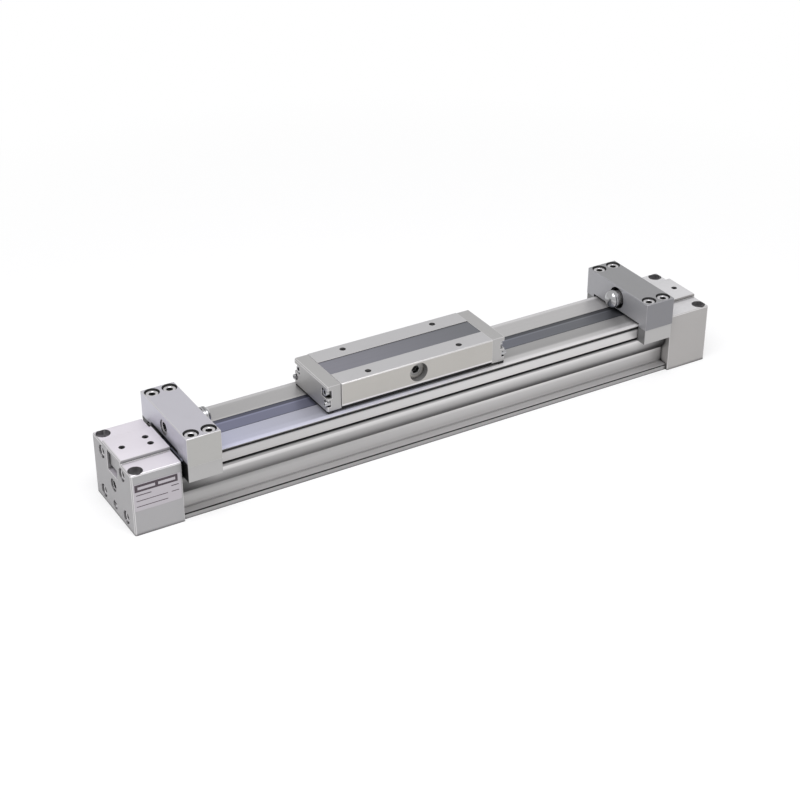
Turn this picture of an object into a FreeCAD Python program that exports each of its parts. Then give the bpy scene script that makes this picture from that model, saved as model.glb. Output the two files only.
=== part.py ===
import FreeCAD, Part
import math
import os
from types import SimpleNamespace

import Sketcher

# Rodless pneumatic cylinder of the slotted tube kind, 25 mm bore, with two stroke adjusting units.
# X runs along the tube, Z is up, the origin is under the middle of the tube at its mounting plane.
# Pieces that sit at both ends are drawn at the right end, X outwards, and turned half a turn for the left.
# Pieces of the carriage are drawn about the carriage's own middle and moved to carriage_x.

SIZES = [
    # tube
    ("tube_length", 372.0, "extruded tube between the head covers"),
    ("rail_top", 40.5, "height of the tube's flat top"),
    ("rail_width", 51.6, "width of the tube's upper part"),
    ("waist_width", 44.0, "width of the tube between barrel and foot"),
    ("waist_top", 15.4, "height where the barrel side meets the waist"),
    ("barrel_start", 25.0, "height where the straight side turns into the barrel"),
    ("barrel_radius", 14.0, "radius of the barrel side"),
    ("foot_width", 56.0, "width of the foot flange"),
    ("foot_height", 4.6, "height of the foot flange"),
    ("foot_lip_high", 4.0, "upper side of the small groove in the flange's edge"),
    ("foot_lip_low", 3.2, "lower side of that groove"),
    ("foot_lip_depth", 0.8, "depth of that groove"),
    ("relief_width", 34.0, "width of the shallow relief under the tube"),
    ("relief_depth", 0.6, "depth of that relief"),
    ("edge_groove_high", 39.9, "upper side of the groove under the rail's edge"),
    ("edge_groove_low", 38.1, "lower side of that groove"),
    ("edge_groove_depth", 1.6, "depth of that groove"),
    ("clamp_groove_high", 31.4, "upper side of the groove that the holder clamps hook into"),
    ("clamp_groove_low", 29.6, "lower side of that groove"),
    ("clamp_groove_depth", 3.2, "depth of that groove"),
    ("bore_radius", 12.5, "bore of the tube"),
    ("bore_height", 17.5, "height of the bore's axis"),
    ("slot_width", 7.0, "slot that the yoke's neck runs in"),
    ("belt_seat_width", 12.4, "seat of the inner belt, open to the bore"),
    ("belt_seat_height", 31.5, "top of that seat"),
    ("band_recess_width", 15.2, "recess of the outer band in the rail's top"),
    ("band_recess_depth", 0.5, "depth of that recess"),
    ("magnet_inner", 4.4, "inner side of the magnet strip groove, from the middle"),
    ("magnet_outer", 6.9, "outer side of the magnet strip groove, from the middle"),
    ("magnet_depth", 1.4, "depth of the magnet strip groove"),
    # fits
    ("fit_gap", 0.05, "radial gap of a shaft or screw in its hole"),
    ("seat_gap", 0.1, "gap between flat pieces that slide on each other"),
    # head covers
    ("cover_length", 33.0, "head cover along the tube"),
    ("cover_width", 60.0, "head cover across"),
    ("shelf_height", 43.0, "height of the head cover's corners"),
    ("ridge_height", 45.5, "height of the head cover's middle ridge"),
    ("ridge_width", 28.0, "width of that ridge"),
    ("cover_edge", 0.8, "chamfer of the head cover's edges"),
    ("cover_slot_width", 14.8, "slot through the head cover for belt and band"),
    ("cover_slot_low", 28.4, "floor of that slot"),
    ("cover_slot_high", 42.0, "ceiling of that slot"),
    ("foot_hole_inset", 5.3, "mounting hole's axis from the cover's end face"),
    ("foot_hole_y", 24.9, "mounting hole's axis from the middle"),
    ("foot_hole_radius", 2.75, "mounting hole"),
    ("foot_bore_radius", 4.7, "counterbore of the mounting hole"),
    ("foot_bore_depth", 5.5, "depth of that counterbore"),
    ("tie_high_y", 15.6, "upper cover bolt from the middle"),
    ("tie_high_z", 36.5, "upper cover bolt's height"),
    ("tie_low_y", 17.5, "lower cover bolt from the middle"),
    ("tie_low_z", 7.0, "lower cover bolt's height"),
    ("tie_radius", 2.5, "cover bolt's shank"),
    ("tie_head_radius", 4.2, "cover bolt's head"),
    ("tie_head_height", 5.0, "height of that head"),
    ("tie_bore_radius", 4.4, "counterbore for that head"),
    ("tie_bore_depth", 6.0, "depth of that counterbore"),
    ("tie_bite", 14.0, "length of the bolt inside the tube"),
    ("tie_hex", 4.0, "width across the flats of the bolt's socket"),
    ("chamber_depth", 24.0, "depth of the air chamber in the head cover"),
    ("port_radius", 4.3, "thread of an air port, at its minor diameter"),
    ("port_length", 9.0, "length of the port's thread"),
    ("port_inset", 15.5, "back port's axis from the cover's end face"),
    ("duct_radius", 2.5, "duct between the port and the chamber"),
    ("end_port_z", 20.6, "height of the plugged port in the end face"),
    ("plug_hex", 5.0, "width across the flats of the plug's socket"),
    ("needle_z", 6.2, "height of the cushion needle"),
    ("needle_radius", 3.0, "cushion needle"),
    ("needle_length", 14.0, "length of the cushion needle"),
    ("needle_sink", 0.8, "needle's face below the end face"),
    ("needle_tip", 4.0, "length of the needle's taper"),
    ("needle_slot", 0.9, "width of the needle's driver slot"),
    ("gasket_bore", 12.6, "radius of the hole in the flat gasket between tube and cover"),
    ("gasket_half", 14.6, "half the side of that square gasket"),
    ("gasket_depth", 1.0, "thickness of that gasket"),
    ("cushion_radius", 7.0, "outer radius of the cushion ring"),
    ("cushion_bore", 5.0, "air way through the cushion ring"),
    ("cushion_reach", 14.0, "cushion ring's length inside the tube"),
    ("cushion_seat", 6.0, "cushion ring's length inside the head cover"),
    # belt clamps in the head covers
    ("clamp_block_start", 2.0, "clamp block's inner end from the cover's inner face"),
    ("clamp_block_end", 2.0, "clamp block's outer end from the cover's end face"),
    ("belt_end_inset", 6.0, "end of belt and band from the cover's end face"),
    ("clamp_plate_high", 41.7, "top of the plate that presses on the band"),
    ("set_screw_radius", 2.0, "set screw on the ridge"),
    ("set_screw_sink", 0.4, "set screw below the ridge's top"),
    ("set_screw_hex", 2.0, "width across the flats of its socket"),
    ("set_outer_inset", 7.4, "single set screw from the end face"),
    ("set_inner_inset", 24.6, "pair of set screws from the end face"),
    ("set_pair_y", 4.1, "each of the pair from the middle"),
    # belt and band
    ("belt_width", 12.0, "inner seal belt across"),
    ("belt_thickness", 1.2, "inner seal belt"),
    ("belt_top_gap", 0.1, "belt below the top of its seat"),
    ("belt_dip_z", 22.6, "middle of the belt inside the yoke"),
    ("belt_lift_inset", 0.5, "where the belt leaves its seat, from the yoke's end"),
    ("belt_bend", 9.0, "bend radius of the belt"),
    ("band_width", 14.6, "outer dust band across"),
    ("band_thickness", 0.3, "outer dust band"),
    ("band_floor_gap", 0.05, "band above the floor of its recess"),
    ("band_lift_z", 52.0, "middle of the band inside the table"),
    ("band_lift_inset", 1.6, "where the band leaves the rail, from the guide roller's axis"),
    ("band_level_reach", 1.0, "band's level stretch beyond the web of the table"),
    ("band_bend", 9.0, "bend radius of the band"),
    # stroke adjusting units
    ("holder_clearance", 2.5, "holder's outer face from the head cover"),
    ("holder_length", 23.0, "holder along the tube"),
    ("holder_width", 68.4, "holder across"),
    ("holder_top", 60.0, "top of the holder"),
    ("holder_belly", 42.6, "underside of the holder above the rail"),
    ("holder_skirt", 40.0, "underside of the holder's sides"),
    ("holder_gap", 0.4, "holder's side from the rail"),
    ("holder_pad_inner", 12.0, "inner side of the pads that rest on the rail"),
    ("holder_pad_outer", 25.2, "outer side of those pads"),
    ("holder_pad_inset", 2.0, "pads from the holder's faces"),
    ("holder_edge", 0.4, "chamfer of the holder's upper edges"),
    ("clamp_low", 29.2, "underside of the holder clamp"),
    ("clamp_gap", 0.2, "holder clamp from the rail's side"),
    ("clamp_outer", 33.8, "outer face of the holder clamp"),
    ("clamp_hook", 3.0, "reach of the clamp's hook into the groove"),
    ("clamp_hook_gap", 0.25, "gap above and below the hook"),
    ("holder_screw_pitch", 11.9, "holder screws along the tube"),
    ("holder_screw_y", 28.75, "holder screws from the middle"),
    ("holder_screw_radius", 2.5, "holder screw's shank"),
    ("holder_head_radius", 4.2, "holder screw's head"),
    ("holder_head_height", 5.0, "height of that head"),
    ("holder_bore_radius", 5.0, "counterbore for that head"),
    ("holder_bore_depth", 6.0, "depth of that counterbore"),
    ("holder_screw_tip", 31.5, "lower end of the holder screw"),
    ("holder_hex", 4.0, "width across the flats of its socket"),
    ("stop_z", 51.0, "height of the stop bolt's axis"),
    ("stop_radius", 5.0, "stop bolt"),
    ("stop_sink", 0.6, "stop bolt's outer end inside the holder's face"),
    ("stop_hex", 6.0, "width across the flats of its socket"),
    ("stop_hex_depth", 5.0, "depth of that socket"),
    ("stop_travel", 10.0, "length that the stop bolt can be screwed back"),
    ("bumper_radius", 6.8, "rounded bumper on the stop bolt"),
    ("bumper_reach", 8.5, "bumper's tip from the holder's face"),
    ("bumper_length", 6.5, "length of the bumper"),
    ("bumper_dome", 9.0, "radius of the bumper's dome"),
    ("bumper_bore_radius", 7.8, "counterbore that the bumper draws back into"),
    ("lock_screw_length", 12.0, "set screw in the holder's back that locks the stop bolt"),
    # carriage
    ("carriage_x", -14.5, "middle of the carriage at rest"),
    ("table_length", 113.5, "slide table without its end covers"),
    ("table_width", 46.0, "slide table across"),
    ("table_low", 44.0, "underside of the slide table"),
    ("table_top", 60.4, "top of the slide table"),
    ("table_edge", 0.5, "chamfer of the slide table's long edges"),
    ("window_width", 17.6, "channel in the top of the slide table"),
    ("tunnel_width", 16.4, "way of the band through the slide table"),
    ("tunnel_floor", 50.0, "top of the web under the band"),
    ("web_half", 33.0, "half length of that web"),
    ("ledge_height", 59.2, "ledge that the top cover lies on"),
    ("top_cover_thickness", 0.8, "stainless top cover"),
    ("top_cover_gap", 0.1, "gap round the top cover"),
    ("work_hole_x", 68.2, "threaded work holes along the table"),
    ("work_hole_y", 33.4, "threaded work holes across the table"),
    ("work_hole_radius", 2.1, "threaded work hole, at its minor diameter"),
    ("work_hole_depth", 9.5, "depth of the threaded work hole"),
    ("side_hole_z", 52.6, "height of the counterbored hole in the table's front"),
    ("side_hole_radius", 6.6, "that counterbore"),
    ("side_hole_depth", 4.4, "depth of that counterbore"),
    ("side_thread_radius", 4.3, "thread behind that counterbore"),
    ("side_thread_depth", 8.0, "depth of that thread"),
    ("side_plug_length", 6.0, "plug in that thread"),
    ("end_cover_length", 10.2, "end cover of the carriage"),
    ("end_cover_width", 44.6, "end cover across"),
    ("end_cover_low", 42.4, "underside of the end cover"),
    ("end_cover_top", 60.2, "top of the end cover"),
    ("end_cover_edge", 0.8, "chamfer of the end cover's outer edges"),
    ("roller_bay_length", 5.9, "hollow of the end cover for roller and band"),
    ("roller_bay_top", 54.0, "top of that hollow"),
    ("end_bolt_y", 17.6, "end cover's bolts from the middle"),
    ("end_bolt_z", 54.2, "height of the end cover's bolts"),
    ("end_bolt_radius", 1.5, "end cover bolt's shank"),
    ("end_bolt_head", 2.6, "end cover bolt's head"),
    ("end_bolt_rise", 3.0, "height of that head"),
    ("end_bolt_notch", 2.85, "notch for that head, open to the side, from the bolt's axis"),
    ("end_bolt_depth", 3.5, "depth of that notch"),
    ("end_bolt_bite", 9.0, "length of that bolt inside the table"),
    ("wiper_screw_y", 20.4, "screws of the wiper from the middle"),
    ("wiper_screw_z", 47.6, "height of the wiper's screws"),
    ("wiper_screw_radius", 1.0, "wiper screw's shank"),
    ("wiper_screw_head", 1.8, "wiper screw's head"),
    ("wiper_screw_rise", 4.0, "height of that head"),
    ("wiper_screw_notch", 2.1, "notch for that head, open to the side, from the screw's axis"),
    ("wiper_screw_depth", 2.6, "depth of that notch"),
    ("wiper_screw_bite", 3.0, "length of that screw inside the cover"),
    ("wiper_screw_hex", 1.5, "width across the flats of that screw's socket"),
    ("small_hex", 2.5, "width across the flats of the M3 screws' sockets"),
    ("small_hex_depth", 1.3, "depth of those sockets"),
    ("scraper_gap", 0.05, "scrapers above the rail"),
    ("scraper_inner", 19.9, "inner side of the side scraper"),
    ("scraper_outer", 20.9, "outer side of the side scraper"),
    ("end_scraper_length", 4.4, "rubber wiper under the end cover"),
    ("end_scraper_half", 22.1, "half width of that wiper"),
    ("end_scraper_inset", 0.6, "wiper from the end cover's outer face"),
    ("bearing_inner", 12.7, "inner side of the resin bearing strip"),
    ("bearing_outer", 19.6, "outer side of the resin bearing strip"),
    ("roller_inset", 1.85, "guide roller's axis from the table's end"),
    ("roller_z", 43.5, "height of the guide roller's axis"),
    ("roller_radius", 2.9, "guide roller"),
    ("roller_width", 15.0, "guide roller across"),
    ("roller_pin_radius", 1.25, "guide roller's pin"),
    ("roller_pin_length", 20.8, "length of that pin"),
    # piston assembly
    ("yoke_overhang", 0.75, "yoke's end from the table's end"),
    ("piston_gap", 0.2, "radial gap of yoke and pistons in the bore"),
    ("neck_width", 6.2, "yoke's neck in the slot"),
    ("neck_half", 36.0, "half length of the neck"),
    ("belt_way_width", 13.2, "way of the seal belt through the yoke"),
    ("belt_way_gap", 0.8, "free height above and below the belt there"),
    ("head_low", 42.6, "underside of the yoke's head"),
    ("head_top", 46.4, "top of the yoke's head"),
    ("head_half", 30.6, "half length of the yoke's head"),
    ("head_width", 24.0, "yoke's head across"),
    ("head_gap", 0.2, "gap round the yoke's head in the table"),
    ("yoke_bolt_x", 48.0, "yoke bolts along the table"),
    ("yoke_bolt_radius", 1.5, "yoke bolt's shank"),
    ("yoke_bolt_head", 2.7, "yoke bolt's head"),
    ("yoke_bolt_bore", 2.9, "counterbore for that head"),
    ("yoke_bolt_depth", 2.2, "depth of that counterbore"),
    ("yoke_bolt_bite", 3.0, "length of the bolt inside the yoke's head"),
    ("magnet_side", 6.0, "side of the square sensor magnet in the yoke"),
    ("magnet_face", 11.3, "outer face of that magnet from the middle"),
    ("magnet_length", 3.8, "length of that magnet"),
    ("spigot_radius", 5.0, "piston's spigot in the yoke"),
    ("spigot_length", 8.0, "length of that spigot"),
    ("pin_radius", 1.25, "spring pin through the spigot"),
    ("pin_inset", 4.0, "spring pin from the yoke's end"),
    ("pin_length", 21.0, "length of the spring pin"),
    ("piston_heel", 4.5, "yoke's end to the wear ring's groove"),
    ("wear_width", 6.0, "width of the wear ring's groove"),
    ("wear_root", 11.0, "radius at the bottom of that groove"),
    ("piston_land", 3.0, "wear ring's groove to the piston seal's groove"),
    ("seal_width", 3.2, "width of the piston seal's groove"),
    ("seal_root", 9.9, "radius at the bottom of that groove"),
    ("ring_gap", 0.05, "running gap of seals and wear rings in the bore"),
    ("cushion_way", 7.4, "radius of the piston's cushion bore"),
    ("cushion_way_depth", 16.0, "depth of that bore"),
    ("cushion_land", 1.8, "piston seal's groove to the cushion seal's groove"),
    ("cushion_seal_width", 2.4, "width of the cushion seal's groove"),
    ("cushion_seal_root", 8.6, "radius at the bottom of that groove"),
    ("piston_lip", 1.6, "cushion seal's groove to the piston's outer face"),
    ("separator_width", 6.0, "belt separator in the slot"),
    ("separator_inset", 0.5, "separator's tip from where the band leaves the rail"),
    ("separator_nose", 2.0, "length of the separator's blunt tip"),
    ("separator_gap", 0.4, "separator from belt and band"),
    ("separator_tip_low", 33.0, "lower end of the separator's tip"),
    ("separator_tip_high", 38.5, "upper end of the separator's tip"),
]


class Size:
    """A size as a number and as the sheet expression that gives it."""

    def __init__(self, value, text):
        self.value = float(value)
        self.text = text

    def __add__(self, other):
        other = size_of(other)
        return Size(self.value + other.value, f"({self.text} + {other.text})")

    def __sub__(self, other):
        other = size_of(other)
        return Size(self.value - other.value, f"({self.text} - {other.text})")

    def __mul__(self, other):
        other = size_of(other)
        return Size(self.value * other.value, f"({self.text} * {other.text})")

    def __truediv__(self, other):
        other = size_of(other)
        return Size(self.value / other.value, f"({self.text} / {other.text})")

    def __rsub__(self, other):
        return size_of(other) - self

    def __neg__(self):
        return size_of(0) - self

    __radd__ = __add__
    __rmul__ = __mul__


def size_of(thing):
    return thing if isinstance(thing, Size) else Size(thing, repr(float(thing)))


def root_of(size):
    return Size(math.sqrt(size.value), f"sqrt({size.text})")


doc = FreeCAD.newDocument("rodless_cylinder")
sheet = doc.addObject("Spreadsheet::Sheet", "Sizes")
d = SimpleNamespace()
for row, (alias, number, note) in enumerate(SIZES, start=1):
    sheet.set(f"A{row}", note)
    sheet.set(f"B{row}", str(number))
    sheet.setAlias(f"B{row}", alias)
    setattr(d, alias, Size(number, f"Sizes.{alias}"))
doc.recompute()

ZERO = size_of(0)
NORMALS = {"XY": (0, 0, 1), "XZ": (0, -1, 0), "YZ": (1, 0, 0)}
WAYS = {"+X": (1, 0, 0), "-X": (-1, 0, 0), "+Y": (0, 1, 0), "-Y": (0, -1, 0), "+Z": (0, 0, 1), "-Z": (0, 0, -1)}
HALF_TURN = FreeCAD.Rotation(FreeCAD.Vector(0, 0, 1), 180)
LEVEL_OUT = FreeCAD.Rotation(FreeCAD.Vector(0, 1, 0), 90)
LEVEL_IN = FreeCAD.Rotation(FreeCAD.Vector(0, 1, 0), -90)
LEVEL_FRONT = FreeCAD.Rotation(FreeCAD.Vector(1, 0, 0), 90)
LEVEL_BACK = FreeCAD.Rotation(FreeCAD.Vector(1, 0, 0), -90)
nodes = []

# Sketch helpers


class Arc:
    """The stretch to the next point is an arc with its centre on the left or right of the way."""

    def __init__(self, radius, left, large=False):
        self.radius = size_of(radius)
        self.left = left
        self.large = large


def new_body(name):
    body = doc.addObject("PartDesign::Body", name)
    body.Label = name
    return body


def new_sketch(body, plane, at=ZERO):
    """A sketch on one of the body's own planes, at a distance along the world's axis."""
    sketch = body.newObject("Sketcher::SketchObject", body.Name + "_outline")
    origin = next(f for f in body.Origin.OriginFeatures if f.Role == plane + "_Plane")
    sketch.AttachmentSupport = [(origin, "")]
    sketch.MapMode = "FlatFace"
    offset = -size_of(at) if plane == "XZ" else size_of(at)
    sketch.AttachmentOffset = FreeCAD.Placement(FreeCAD.Vector(0, 0, offset.value), FreeCAD.Rotation())
    sketch.setExpression("AttachmentOffset.Base.z", offset.text)
    return sketch


def bind(sketch, constraint, size):
    index = sketch.addConstraint(constraint)
    sketch.setExpression(f"Constraints[{index}]", size.text)


def add_loop(sketch, items):
    """A closed outline of points, each with both its distances from the origin bound to the sheet."""
    points = [tuple(size_of(c) for c in item) for item in items if not isinstance(item, Arc)]
    bends = {}
    count = -1
    for item in items:
        if isinstance(item, Arc):
            bends[count] = item
        else:
            count += 1
    first = sketch.GeometryCount
    total = len(points)
    for i, (u, v) in enumerate(points):
        start = FreeCAD.Vector(u.value, v.value, 0)
        end = FreeCAD.Vector(points[(i + 1) % total][0].value, points[(i + 1) % total][1].value, 0)
        bend = bends.get(i)
        sketch.addGeometry(bend_edge(start, end, bend) if bend else Part.LineSegment(start, end), False)
    for i in range(total):
        bend, after = bends.get(i), bends.get((i + 1) % total)
        end = 1 if bend and not bend.left else 2
        start = 2 if after and not after.left else 1
        sketch.addConstraint(Sketcher.Constraint("Coincident", first + i, end, first + (i + 1) % total, start))
    for i, (u, v) in enumerate(points):
        bend = bends.get(i)
        start = 2 if bend and not bend.left else 1
        bind(sketch, Sketcher.Constraint("DistanceX", -1, 1, first + i, start, u.value), u)
        bind(sketch, Sketcher.Constraint("DistanceY", -1, 1, first + i, start, v.value), v)
        if bend:
            bind(sketch, Sketcher.Constraint("Radius", first + i, bend.radius.value), bend.radius)


def bend_edge(start, end, bend):
    """An arc of a given radius between two points. A sketch's arcs always run counterclockwise."""
    chord = end - start
    middle = (start + end) * 0.5
    rise = math.sqrt(bend.radius.value ** 2 - chord.Length ** 2 / 4)
    side = FreeCAD.Vector(-chord.y, chord.x, 0).normalize() * rise
    centre = middle + side if bend.left != bend.large else middle - side
    low, high = (start, end) if bend.left else (end, start)
    angle_low = math.atan2(low.y - centre.y, low.x - centre.x)
    angle_high = math.atan2(high.y - centre.y, high.x - centre.x)
    circle = Part.Circle(centre, FreeCAD.Vector(0, 0, 1), bend.radius.value)
    return Part.ArcOfCircle(circle, angle_low, angle_high)


def add_box(sketch, u_low, v_low, u_high, v_high):
    add_loop(sketch, [(u_low, v_low), (u_high, v_low), (u_high, v_high), (u_low, v_high)])


def add_circle(sketch, u, v, radius):
    u, v, radius = size_of(u), size_of(v), size_of(radius)
    circle = Part.Circle(FreeCAD.Vector(u.value, v.value, 0), FreeCAD.Vector(0, 0, 1), radius.value)
    index = sketch.addGeometry(circle, False)
    bind(sketch, Sketcher.Constraint("DistanceX", -1, 1, index, 3, u.value), u)
    bind(sketch, Sketcher.Constraint("DistanceY", -1, 1, index, 3, v.value), v)
    bind(sketch, Sketcher.Constraint("Radius", index, radius.value), radius)


def add_hexagon(sketch, across):
    """A hexagon about the origin, two of its sides level."""
    corner = size_of(across) / math.sqrt(3)
    turns = [math.radians(60 * i) for i in range(6)]
    add_loop(sketch, [(corner * round(math.cos(a), 9), corner * round(math.sin(a), 9)) for a in turns])


# Feature helpers


def faces_along(sketch, plane, way):
    """Whether the way points along the plane's normal."""
    return sum(a * b for a, b in zip(NORMALS[plane], WAYS[way])) > 0


def pad(body, sketch, length, plane=None, way=None):
    """Thickens a sketch to both sides, or along one way."""
    feature = body.newObject("PartDesign::Pad", body.Name + "_pad")
    feature.Profile = sketch
    feature.setExpression("Length", size_of(length).text)
    feature.Midplane = way is None
    feature.Reversed = way is not None and not faces_along(sketch, plane, way)
    body.Tip = feature
    return feature


def cut(body, sketch, length, plane=None, way=None):
    """Takes a sketch's prism away, to both sides or along one way, and checks that it took something."""
    doc.recompute()
    before = body.Shape.Volume
    feature = body.newObject("PartDesign::Pocket", body.Name + "_cut")
    feature.Profile = sketch
    feature.setExpression("Length", size_of(length).text)
    feature.Midplane = way is None
    feature.Reversed = way is not None and faces_along(sketch, plane, way)
    body.Tip = feature
    doc.recompute()
    if body.Shape.Volume >= before:
        raise RuntimeError(f"{feature.Label} cuts nothing")
    return feature


def drill(body, plane, way, centre, radius, at, length):
    """Round holes along one axis: the centres are in the plane's own two coordinates."""
    sketch = new_sketch(body, plane, at)
    for u, v in centre:
        add_circle(sketch, u, v, radius)
    return cut(body, sketch, length, plane, way)


def revolve(body, sketch, axis):
    feature = body.newObject("PartDesign::Revolution", body.Name + "_turned")
    feature.Profile = sketch
    feature.ReferenceAxis = (sketch, [axis])
    feature.Angle = 360
    body.Tip = feature
    return feature


def edge_names(shape, wanted):
    """Names of the straight edges whose two ends both satisfy a test."""
    names = []
    for number, edge in enumerate(shape.Edges, start=1):
        ends = [vertex.Point for vertex in edge.Vertexes]
        if len(ends) == 2 and isinstance(edge.Curve, Part.Line) and wanted(*ends):
            names.append(f"Edge{number}")
    return names


def chamfer(body, size, wanted):
    doc.recompute()
    base = body.Tip
    names = edge_names(base.Shape, wanted)
    if not names:
        raise RuntimeError(f"{body.Label} has no edge to chamfer")
    feature = body.newObject("PartDesign::Chamfer", body.Name + "_edge")
    feature.Base = (base, names)
    feature.setExpression("Size", size.text)
    body.Tip = feature
    return feature


def near(a, b):
    return abs(a - b) < 1e-4


def move(thing, x=ZERO, y=ZERO, z=ZERO, turn=None):
    """Gives an object its place, bound to the sheet, and its turn."""
    x, y, z = size_of(x), size_of(y), size_of(z)
    thing.Placement = FreeCAD.Placement(FreeCAD.Vector(x.value, y.value, z.value), turn or FreeCAD.Rotation())
    for axis, size in (("x", x), ("y", y), ("z", z)):
        thing.setExpression(f"Placement.Base.{axis}", size.text)
    return thing


def keep(thing, label=None):
    """Makes an object one of the model's named pieces."""
    if label:
        thing.Label = label
    nodes.append(thing)
    return thing


def group(label, master, places):
    """Copies of one piece as separate solids of one named node. A place is x, y, z and a turn."""
    links = []
    for number, (x, y, z, turn) in enumerate(places, start=1):
        link = doc.addObject("App::Link", f"{label}_{number}")
        link.LinkedObject = master
        links.append(move(link, x, y, z, turn))
    compound = doc.addObject("Part::Compound", label)
    compound.Links = links
    return keep(move(compound), label)


def both_ends(label, master, x=ZERO):
    """One piece at the right end and one turned to the left, about a middle at x."""
    return group(label, master, [(x, ZERO, ZERO, None), (x, ZERO, ZERO, HALF_TURN)])


def turned_profile(name, points):
    """A ring or stepped shaft about the X axis, from its (x, radius) points."""
    body = new_body(name)
    sketch = new_sketch(body, "XZ")
    add_loop(sketch, points)
    revolve(body, sketch, "H_Axis")
    return body


def cap_screw(name, shank, length, head, rise, hexagon, depth):
    """A screw with its head up and the seat of the head at the origin."""
    shank, length, head, rise = size_of(shank), size_of(length), size_of(head), size_of(rise)
    body = new_body(name)
    sketch = new_sketch(body, "XZ")
    add_loop(sketch, [(0, -length), (shank, -length), (shank, 0), (head, 0), (head, rise), (0, rise)])
    revolve(body, sketch, "V_Axis")
    socket = new_sketch(body, "XY", rise)
    add_hexagon(socket, hexagon)
    cut(body, socket, depth, "XY", "-Z")
    return body


def grub_screw(name, radius, length, hexagon, depth):
    """A screw without a head, its upper face at the origin."""
    body = new_body(name)
    sketch = new_sketch(body, "XY")
    add_circle(sketch, 0, 0, radius)
    pad(body, sketch, length, "XY", "-Z")
    socket = new_sketch(body, "XY")
    add_hexagon(socket, hexagon)
    cut(body, socket, depth, "XY", "-Z")
    return body


# Places that several pieces share

tube_end = d.tube_length / 2
cover_end = tube_end + d.cover_length
holder_outer = tube_end - d.holder_clearance
holder_inner = holder_outer - d.holder_length
holder_middle = holder_outer - d.holder_length / 2
table_half = d.table_length / 2
end_cover_face = table_half + d.end_cover_length
roller_x = table_half + d.roller_inset
yoke_half = table_half + d.yoke_overhang
belt_lift_half = yoke_half - d.belt_lift_inset
band_lift_half = roller_x - d.band_lift_inset
band_level_half = d.web_half + d.band_level_reach
separator_reach = band_lift_half - d.separator_inset
separator_heel = separator_reach - d.separator_nose
wear_start = yoke_half + d.piston_heel
wear_end = wear_start + d.wear_width
seal_start = wear_end + d.piston_land
seal_end = seal_start + d.seal_width
cushion_seal_start = seal_end + d.cushion_land
cushion_seal_end = cushion_seal_start + d.cushion_seal_width
piston_end = cushion_seal_end + d.piston_lip
band_low = d.rail_top - d.band_recess_depth + d.band_floor_gap
band_middle = band_low + d.band_thickness / 2
band_high = band_low + d.band_thickness
belt_high = d.belt_seat_height - d.belt_top_gap
belt_middle = belt_high - d.belt_thickness / 2
belt_low = belt_high - d.belt_thickness
belt_tip = cover_end - d.belt_end_inset
piston_radius = d.bore_radius - d.piston_gap
ring_radius = d.bore_radius - d.ring_gap
tie_places = [(d.tie_high_y, d.tie_high_z), (-d.tie_high_y, d.tie_high_z),
              (d.tie_low_y, d.tie_low_z), (-d.tie_low_y, d.tie_low_z)]
foot_hole_x = cover_end - d.foot_hole_inset
set_outer_x = cover_end - d.set_outer_inset
set_inner_x = cover_end - d.set_inner_inset
set_screw_places = [(set_outer_x, ZERO), (set_inner_x, d.set_pair_y), (set_inner_x, -d.set_pair_y)]
holder_screw_x = [holder_middle - d.holder_screw_pitch / 2, holder_middle + d.holder_screw_pitch / 2]
stop_end = holder_outer - d.stop_sink
bumper_tip = holder_inner - d.bumper_reach
bumper_base = bumper_tip + d.bumper_length
pin_x = yoke_half - d.pin_inset


# Tube


def make_tube():
    """The extrusion: rail with its grooves, barrel, waist and foot, with bore and slot in one outline."""
    half_rail = d.rail_width / 2
    half_foot = d.foot_width / 2
    half_waist = d.waist_width / 2
    half_slot = d.slot_width / 2
    half_seat = d.belt_seat_width / 2
    half_recess = d.band_recess_width / 2
    half_relief = d.relief_width / 2
    recess_floor = d.rail_top - d.band_recess_depth
    magnet_floor = recess_floor - d.magnet_depth
    edge_root = half_rail - d.edge_groove_depth
    clamp_root = half_rail - d.clamp_groove_depth
    lip_root = half_foot - d.foot_lip_depth
    seat_low = d.bore_height + root_of(d.bore_radius * d.bore_radius - half_seat * half_seat)
    outside = [(half_recess, d.rail_top), (half_rail, d.rail_top),
               (half_rail, d.edge_groove_high), (edge_root, d.edge_groove_high),
               (edge_root, d.edge_groove_low), (half_rail, d.edge_groove_low),
               (half_rail, d.clamp_groove_high), (clamp_root, d.clamp_groove_high),
               (clamp_root, d.clamp_groove_low), (half_rail, d.clamp_groove_low),
               (half_rail, d.barrel_start), Arc(d.barrel_radius, False), (half_waist, d.waist_top),
               (half_waist, d.foot_height), (half_foot, d.foot_height),
               (half_foot, d.foot_lip_high), (lip_root, d.foot_lip_high),
               (lip_root, d.foot_lip_low), (half_foot, d.foot_lip_low),
               (half_foot, ZERO), (half_relief, ZERO),
               (half_relief - d.relief_depth, d.relief_depth)]
    inside = [(half_seat, seat_low), (half_seat, d.belt_seat_height),
              (half_slot, d.belt_seat_height), (half_slot, recess_floor),
              (d.magnet_inner, recess_floor), (d.magnet_inner, magnet_floor),
              (d.magnet_outer, magnet_floor), (d.magnet_outer, recess_floor),
              (half_recess, recess_floor)]
    mirror = [Arc(p.radius, p.left) if isinstance(p, Arc) else (-p[0], p[1]) for p in reversed(outside)]
    mirror_in = [(-u, v) for u, v in reversed(inside)]
    loop = outside + mirror + mirror_in + [Arc(d.bore_radius, True, True)] + inside
    body = new_body("cylinder_tube")
    section = new_sketch(body, "YZ")
    add_loop(section, loop)
    for y, z in tie_places:
        add_circle(section, y, z, d.tie_radius + d.fit_gap)
    pad(body, section, d.tube_length)
    return keep(body)


# Head covers and what they hold


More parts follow.
